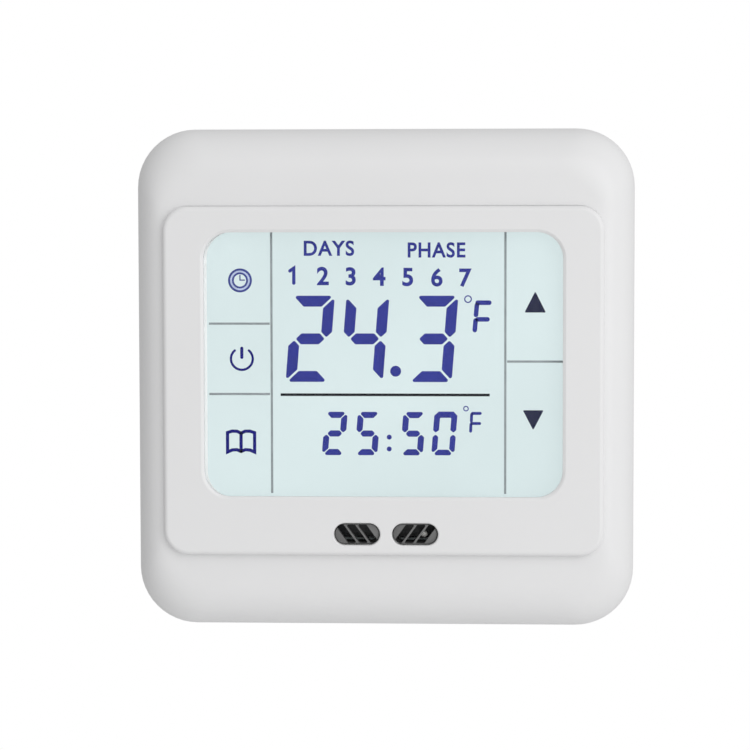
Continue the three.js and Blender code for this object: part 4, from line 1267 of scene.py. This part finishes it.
def build_terminal_block():
    """Six poles, each with a screw well behind and a wire entry below, and a groove between neighbours."""
    low, high = span("terminal_block")
    cage_low, cage_high = span("clamp_cage_1")
    bar_high = span("terminal_bar_1")[1]
    z0, z1 = cage_low.z - 0.4, cage_high.z + 0.4
    groove = 0.18  # half its width
    past_back = high.y + 1
    entry = [(low.z - 1, 2.35), (low.z, 2.2), (low.z + 0.5, 1.9), (z0 + 0.2, 1.9)]
    well = [(0, 20.4), (1.55, 20.4), (1.55, 21.6), (2.4, 21.6), (2.4, 24.1), (2.7, 24.45)]
    well += [(2.7, past_back), (0, past_back)]

    def holes(bm):
        for pole in range(POLES):
            x = pole_x(pole)
            add_box(bm, x - 2.35, x + 2.35, cage_low.y - 0.3, cage_high.y + 2.5, z0, z1)
            add_skin(bm, level_rings([(z, half, half) for z, half in entry], 0.4, x, 15.1, steps=4))
            add_box(bm, x - 1.5, x + 1.5, low.y - 1, bar_high.y + 0.3, z1 - 0.5, -12.5)
            add_turned(bm, well, (x, 0, TERMINAL_AT))
        for gap in range(1, POLES):
            x = pole_x(gap) - POLE_PITCH / 2
            add_box(bm, x - groove, x + groove, 23.4, past_back, low.z - 1, high.z - 2.4)
            add_box(bm, x - groove, x + groove, 12, past_back, low.z - 1, low.z + 0.8)

    block = cut(shaped(add_box, low.x, high.x, low.y, high.y, low.z, high.z), holes)
    numerals = bmesh.new()
    for pole in range(POLES):
        facing_wall(numerals, str(pole + 1), pole_x(pole), -13.9, 1.3, high.y)
    parts = [(block, BLACK), (numerals, NUMERAL)]
    piece("terminal_block_body", parts, "base", ["terminal_block"], edge=0.1)


def build_poles():
    for pole in range(POLES):
        number = pole + 1
        name = f"terminal_screw_{number}"
        build_screw(name, pole_x(pole), TERMINAL_AT, 23.5, 1, TERMINAL_SCREW, name)
        keep(f"clamp_cage_{number}", ZINC, 0.15)
        keep(f"terminal_bar_{number}", BRASS, 0.1)


# ------------------------------------------------------------------ parts on the boards
def round_part(node_name):
    """Where a round CAD node stands, its radius and its height along Y."""
    low, high = span(node_name)
    middle = middle_of(node_name)
    return (middle.x, low.y, middle.z), high.x - middle.x, high.y - low.y


def build_reservoir():
    """An electrolytic can in its sleeve, with a scored top."""
    centre, r, h = round_part("reservoir_capacitor")
    sleeve = [(0, 0), (r - 0.3, 0), (r - 0.1, 0.4), (r, 0.7), (r, 1.2), (r - 0.35, 1.7), (r, 2.2)]
    sleeve += [(r, h - 0.6), (r - 0.15, h - 0.2), (r - 0.5, h), (r - 0.9, h - 0.05), (0, h - 0.05)]
    lid = [(0, h - 0.2), (r - 0.95, h - 0.2), (r - 0.95, h - 0.02), (0, h - 0.02)]

    def score(bm):
        x, y, z = centre
        for half_x, half_z in ((2.6, 0.15), (0.15, 2.6)):
            add_box(bm, x - half_x, x + half_x, y + h - 0.09, y + h + 1, z - half_z, z + half_z)

    can = shaped(add_turned, sleeve, centre, sides=48)
    top = cut(shaped(add_turned, lid, centre, sides=48), score)
    parts = [(can, SLEEVE), (top, STEEL)]
    piece("reservoir_can", parts, "base", ["reservoir_capacitor"])


def build_fuse():
    centre, r, h = round_part("line_fuse")
    cap = [(0, 0), (r, 0), (r, 0.9), (r - 0.15, 1.0), (r - 0.15, h - 0.6), (r - 0.6, h - 0.05), (0, h)]
    case = shaped(add_turned, cap, centre, sides=48)
    piece("line_fuse_case", [(case, FUSE)], "base", ["line_fuse"])


def build_suppressor():
    """A dipped disc standing on two legs."""
    low, high = span("surge_suppressor")
    x, _, z = middle_of("surge_suppressor")
    r = (high.x - low.x) / 2
    half_thick = (high.z - low.z) / 2
    steps = 8
    profile = [(0, -half_thick)]
    for i in range(steps + 1):
        a = math.pi * i / steps
        flatten = 0.9 if i in (0, steps) else 1
        profile.append((r - 1.2 + 1.2 * math.sin(a), -half_thick * math.cos(a) * flatten))
    profile.append((0, half_thick))

    def add_legs(bm):
        for side in SIDES:
            path = [(x + side * 1.6, high.y - r, z), (x + side * 2.2, low.y + 1.5, z)]
            add_wire(bm, path + [(x + side * 2.2, low.y, z)], 0.3)

    disc = shaped(add_turned, profile, (x, high.y - r, z), axis="Z", sides=48)
    parts = [(disc, DISC_BLUE), (solid(add_legs), STEEL)]
    piece("surge_disc", parts, "base", ["surge_suppressor"])


def build_transformer():
    """Two E-shaped core halves round a taped winding on a bobbin."""
    low, high = span("supply_transformer")
    mid_x, _, mid_z = middle_of("supply_transformer")

    def cores(bm):
        for side in SIDES:
            z0, z1 = sorted((mid_z + side * 2.5, mid_z + side * 5.5))
            add_box(bm, 3, 17, low.y, high.y, z0, z1)

    winding = shaped(add_rounded_box, 6.6, 4.4, 1.2, low.y + 2.6, 17.6, mid_x, mid_z, steps=6)
    bobbin = shaped(add_box, low.x, high.x, low.y, low.y + 2.5, mid_z - 4, mid_z + 4)
    parts = [(solid(cores), FERRITE), (winding, TAPE), (bobbin, CHIP)]
    piece("transformer_core", parts, "base", ["supply_transformer"], edge=0.2)


def build_relay_coil():
    """A bobbin with its turns of wire, on a steel core."""
    centre, _, h = round_part("relay_coil")
    wire = 0.28
    turns = [(0, 0.8)]
    level = 0.8
    while level < h - 1.5:
        turns += [(4.0, level), (4.15, level + wire / 2), (4.0, level + wire)]
        level += wire
    turns.append((0, level))

    def add_flanges(bm):
        edge = [(0, 0), (4.7, 0), (4.8, 0.1), (4.8, 0.7), (4.7, 0.8), (0, 0.8)]
        for at in (0, h - 1.3):
            add_turned(bm, [(r, at + up) for r, up in edge], centre)

    winding = shaped(add_turned, turns, centre)
    core = shaped(add_turned, [(0, h - 1), (2, h - 1), (2, h - 0.1), (1.9, h), (0, h)], centre)
    parts = [(winding, COPPER), (solid(add_flanges), CHIP), (core, STEEL)]
    piece("relay_winding", parts, "base", ["relay_coil"])


def build_chip():
    """A flat package with bent leads on its four sides."""
    low, high = span("microcontroller")
    mid_x, _, mid_z = middle_of("microcontroller")
    half = (high.x - low.x) / 2 - 1
    count = 12
    pitch = 0.65
    bend = [(-0.1, 0.55), (0.35, 0.55), (0.55, 0.12), (1, 0.12)]
    bend += [(1, 0), (0.45, 0), (0.25, 0.42), (-0.1, 0.42)]

    def add_lead(bm, at, side, across):
        rings = []
        for edge in (at - 0.14, at + 0.14):
            spots = []
            for past, up in bend:
                out = side * (half + past)
                x, z = (out, edge) if across else (edge, out)
                spots.append(Vector((mid_x + x, low.y + up, mid_z + z)))
            rings.append(spots)
        add_skin(bm, rings)

    def add_leads(bm):
        for k in range(count):
            for side in SIDES:
                for across in (True, False):
                    add_lead(bm, (k - (count - 1) / 2) * pitch, side, across)

    body = shaped(add_rounded_box, half, half, 0.3, low.y + 0.1, high.y, mid_x, mid_z, steps=3)
    parts = [(body, CHIP), (solid(add_leads), STEEL)]
    piece("microcontroller_chip", parts, "front_module", ["microcontroller"])


def build_cell():
    centre, r, h = round_part("backup_cell")
    cell = [(0, 0), (r - 0.5, 0), (r - 0.4, 0.25), (r - 0.15, 0.3), (r, 0.45), (r, h - 0.15), (r - 0.15, h)]
    body = shaped(add_turned, cell + [(0, h)], centre, sides=56)
    piece("backup_cell_can", [(body, STEEL)], "front_module", ["backup_cell"])


def build_crystal():
    low, high = span("clock_crystal")
    _, y, z = middle_of("clock_crystal")
    r = high.y - y
    h = high.x - low.x
    can = [(0, 0), (r - 0.25, 0), (r, 0.2), (r, h - 0.5), (r - 0.1, h - 0.3), (r - 0.1, h), (0, h)]
    body = shaped(add_turned, can, (low.x, y, z), axis="X")
    piece("clock_crystal_can", [(body, STEEL)], "front_module", ["clock_crystal"])


# ------------------------------------------------------------------ camera, light and floor
CAMERA_AZIMUTH = 2.93
CAMERA_ELEVATION = 3.7
CAMERA_ROLL = -0.1
CAMERA_DISTANCE = 450.0
CAMERA_LENS = 126.2
CAMERA_AIM = (-1.51, -12.0, 0.86)


def aimed(azimuth, elevation):
    """The direction from the object to that angle in degrees, and the turn that faces the object."""
    a, e = math.radians(azimuth), math.radians(elevation)
    back = Vector((math.sin(a) * math.cos(e), -math.cos(a) * math.cos(e), math.sin(e)))
    return back, (-back).to_track_quat("-Z", "Y")


def build_camera():
    back, look = aimed(CAMERA_AZIMUTH, CAMERA_ELEVATION)
    camera = bpy.data.objects.new("camera", bpy.data.cameras.new("camera"))
    camera.data.lens = CAMERA_LENS
    camera.location = (Vector(CAMERA_AIM) + back * CAMERA_DISTANCE) * MM
    camera.rotation_mode = "QUATERNION"
    camera.rotation_quaternion = look @ Matrix.Rotation(math.radians(CAMERA_ROLL), 3, "Z").to_quaternion()
    camera.data.clip_start = 0.01
    bpy.context.scene.camera = link(camera)


def add_lamp(name, azimuth, elevation, distance, size, power):
    """A square soft box that faces the object. Distance and size are in metres."""
    back, look = aimed(azimuth, elevation)
    lamp = bpy.data.objects.new(name, bpy.data.lights.new(name, "AREA"))
    lamp.data.size = size
    lamp.data.energy = power
    lamp.location = back * distance
    lamp.rotation_mode = "QUATERNION"
    lamp.rotation_quaternion = look
    link(lamp)


SURROUND = 0.65  # mean strength of the surround
SURROUND_LEAN = (0.20, -0.07, 0.05)  # how much stronger it is towards +X, +Y and +Z
KEY_POWER = 5.5


def build_light():
    """A soft surround that is brighter at the right and looks white itself, and a soft box at the right."""
    world = bpy.data.worlds.new("studio")
    bpy.context.scene.world = world
    world.use_nodes = True
    tree = world.node_tree
    towards = node(tree, "ShaderNodeTexCoord").outputs["Generated"]
    lean = node(tree, "ShaderNodeVectorMath", {"operation": "DOT_PRODUCT"}, {0: towards, 1: SURROUND_LEAN})
    light = node(tree, "ShaderNodeMath", {"operation": "ADD"}, {0: lean.outputs["Value"], 1: SURROUND})
    seen = node(tree, "ShaderNodeLightPath").outputs["Is Camera Ray"]
    strength = ranged(tree, seen, 0.0, 1.0, light.outputs["Value"], 1.0)
    background = tree.nodes["Background"]
    background.inputs["Color"].default_value = (1, 1, 1, 1)
    tree.links.new(strength, background.inputs["Strength"])
    add_lamp("key", azimuth=28, elevation=15, distance=1.2, size=1.2, power=KEY_POWER)
    bpy.context.scene.view_settings.view_transform = "Standard"


def build_floor():
    """A pale floor below the object that fades out into the white surround."""
    bm = bmesh.new()
    bmesh.ops.create_circle(bm, cap_ends=True, segments=96, radius=0.3)
    mesh = bpy.data.meshes.new("floor")
    bm.to_mesh(mesh)
    bm.free()
    floor = bpy.data.objects.new("floor", mesh)
    floor.location.z = -0.12
    pale = (0.98, 0.98, 0.98, 1)
    material = finish("floor_pale", pale, 0.7, tint=0.004, blotch=60.0, grain=2.0, depth=0.01)
    tree, shader = edge_of(material)
    where = object_place(tree)
    distance = node(tree, "ShaderNodeVectorMath", {"operation": "LENGTH"}, {0: where}).outputs["Value"]
    fade = ranged(tree, distance, 0.04, 0.24, 0.8, 0.0, {"interpolation_type": "SMOOTHSTEP"})
    tree.links.new(fade, shader.inputs["Alpha"])
    mesh.materials.append(material)
    link(floor)


build_outer_frame()
build_bezel()
build_vent_grille("vent_grille_left", -1)
build_vent_grille("vent_grille_right", 1)
build_display()
build_electronics()
build_screws()
build_header()
build_air_sensor()
build_display_cover()
build_base_cover()
build_yoke()
build_rear_housing()
build_terminal_block()
build_poles()
build_reservoir()
build_fuse()
build_suppressor()
build_transformer()
build_relay_coil()
build_chip()
build_cell()
build_crystal()
build_camera()
build_light()
build_floor()
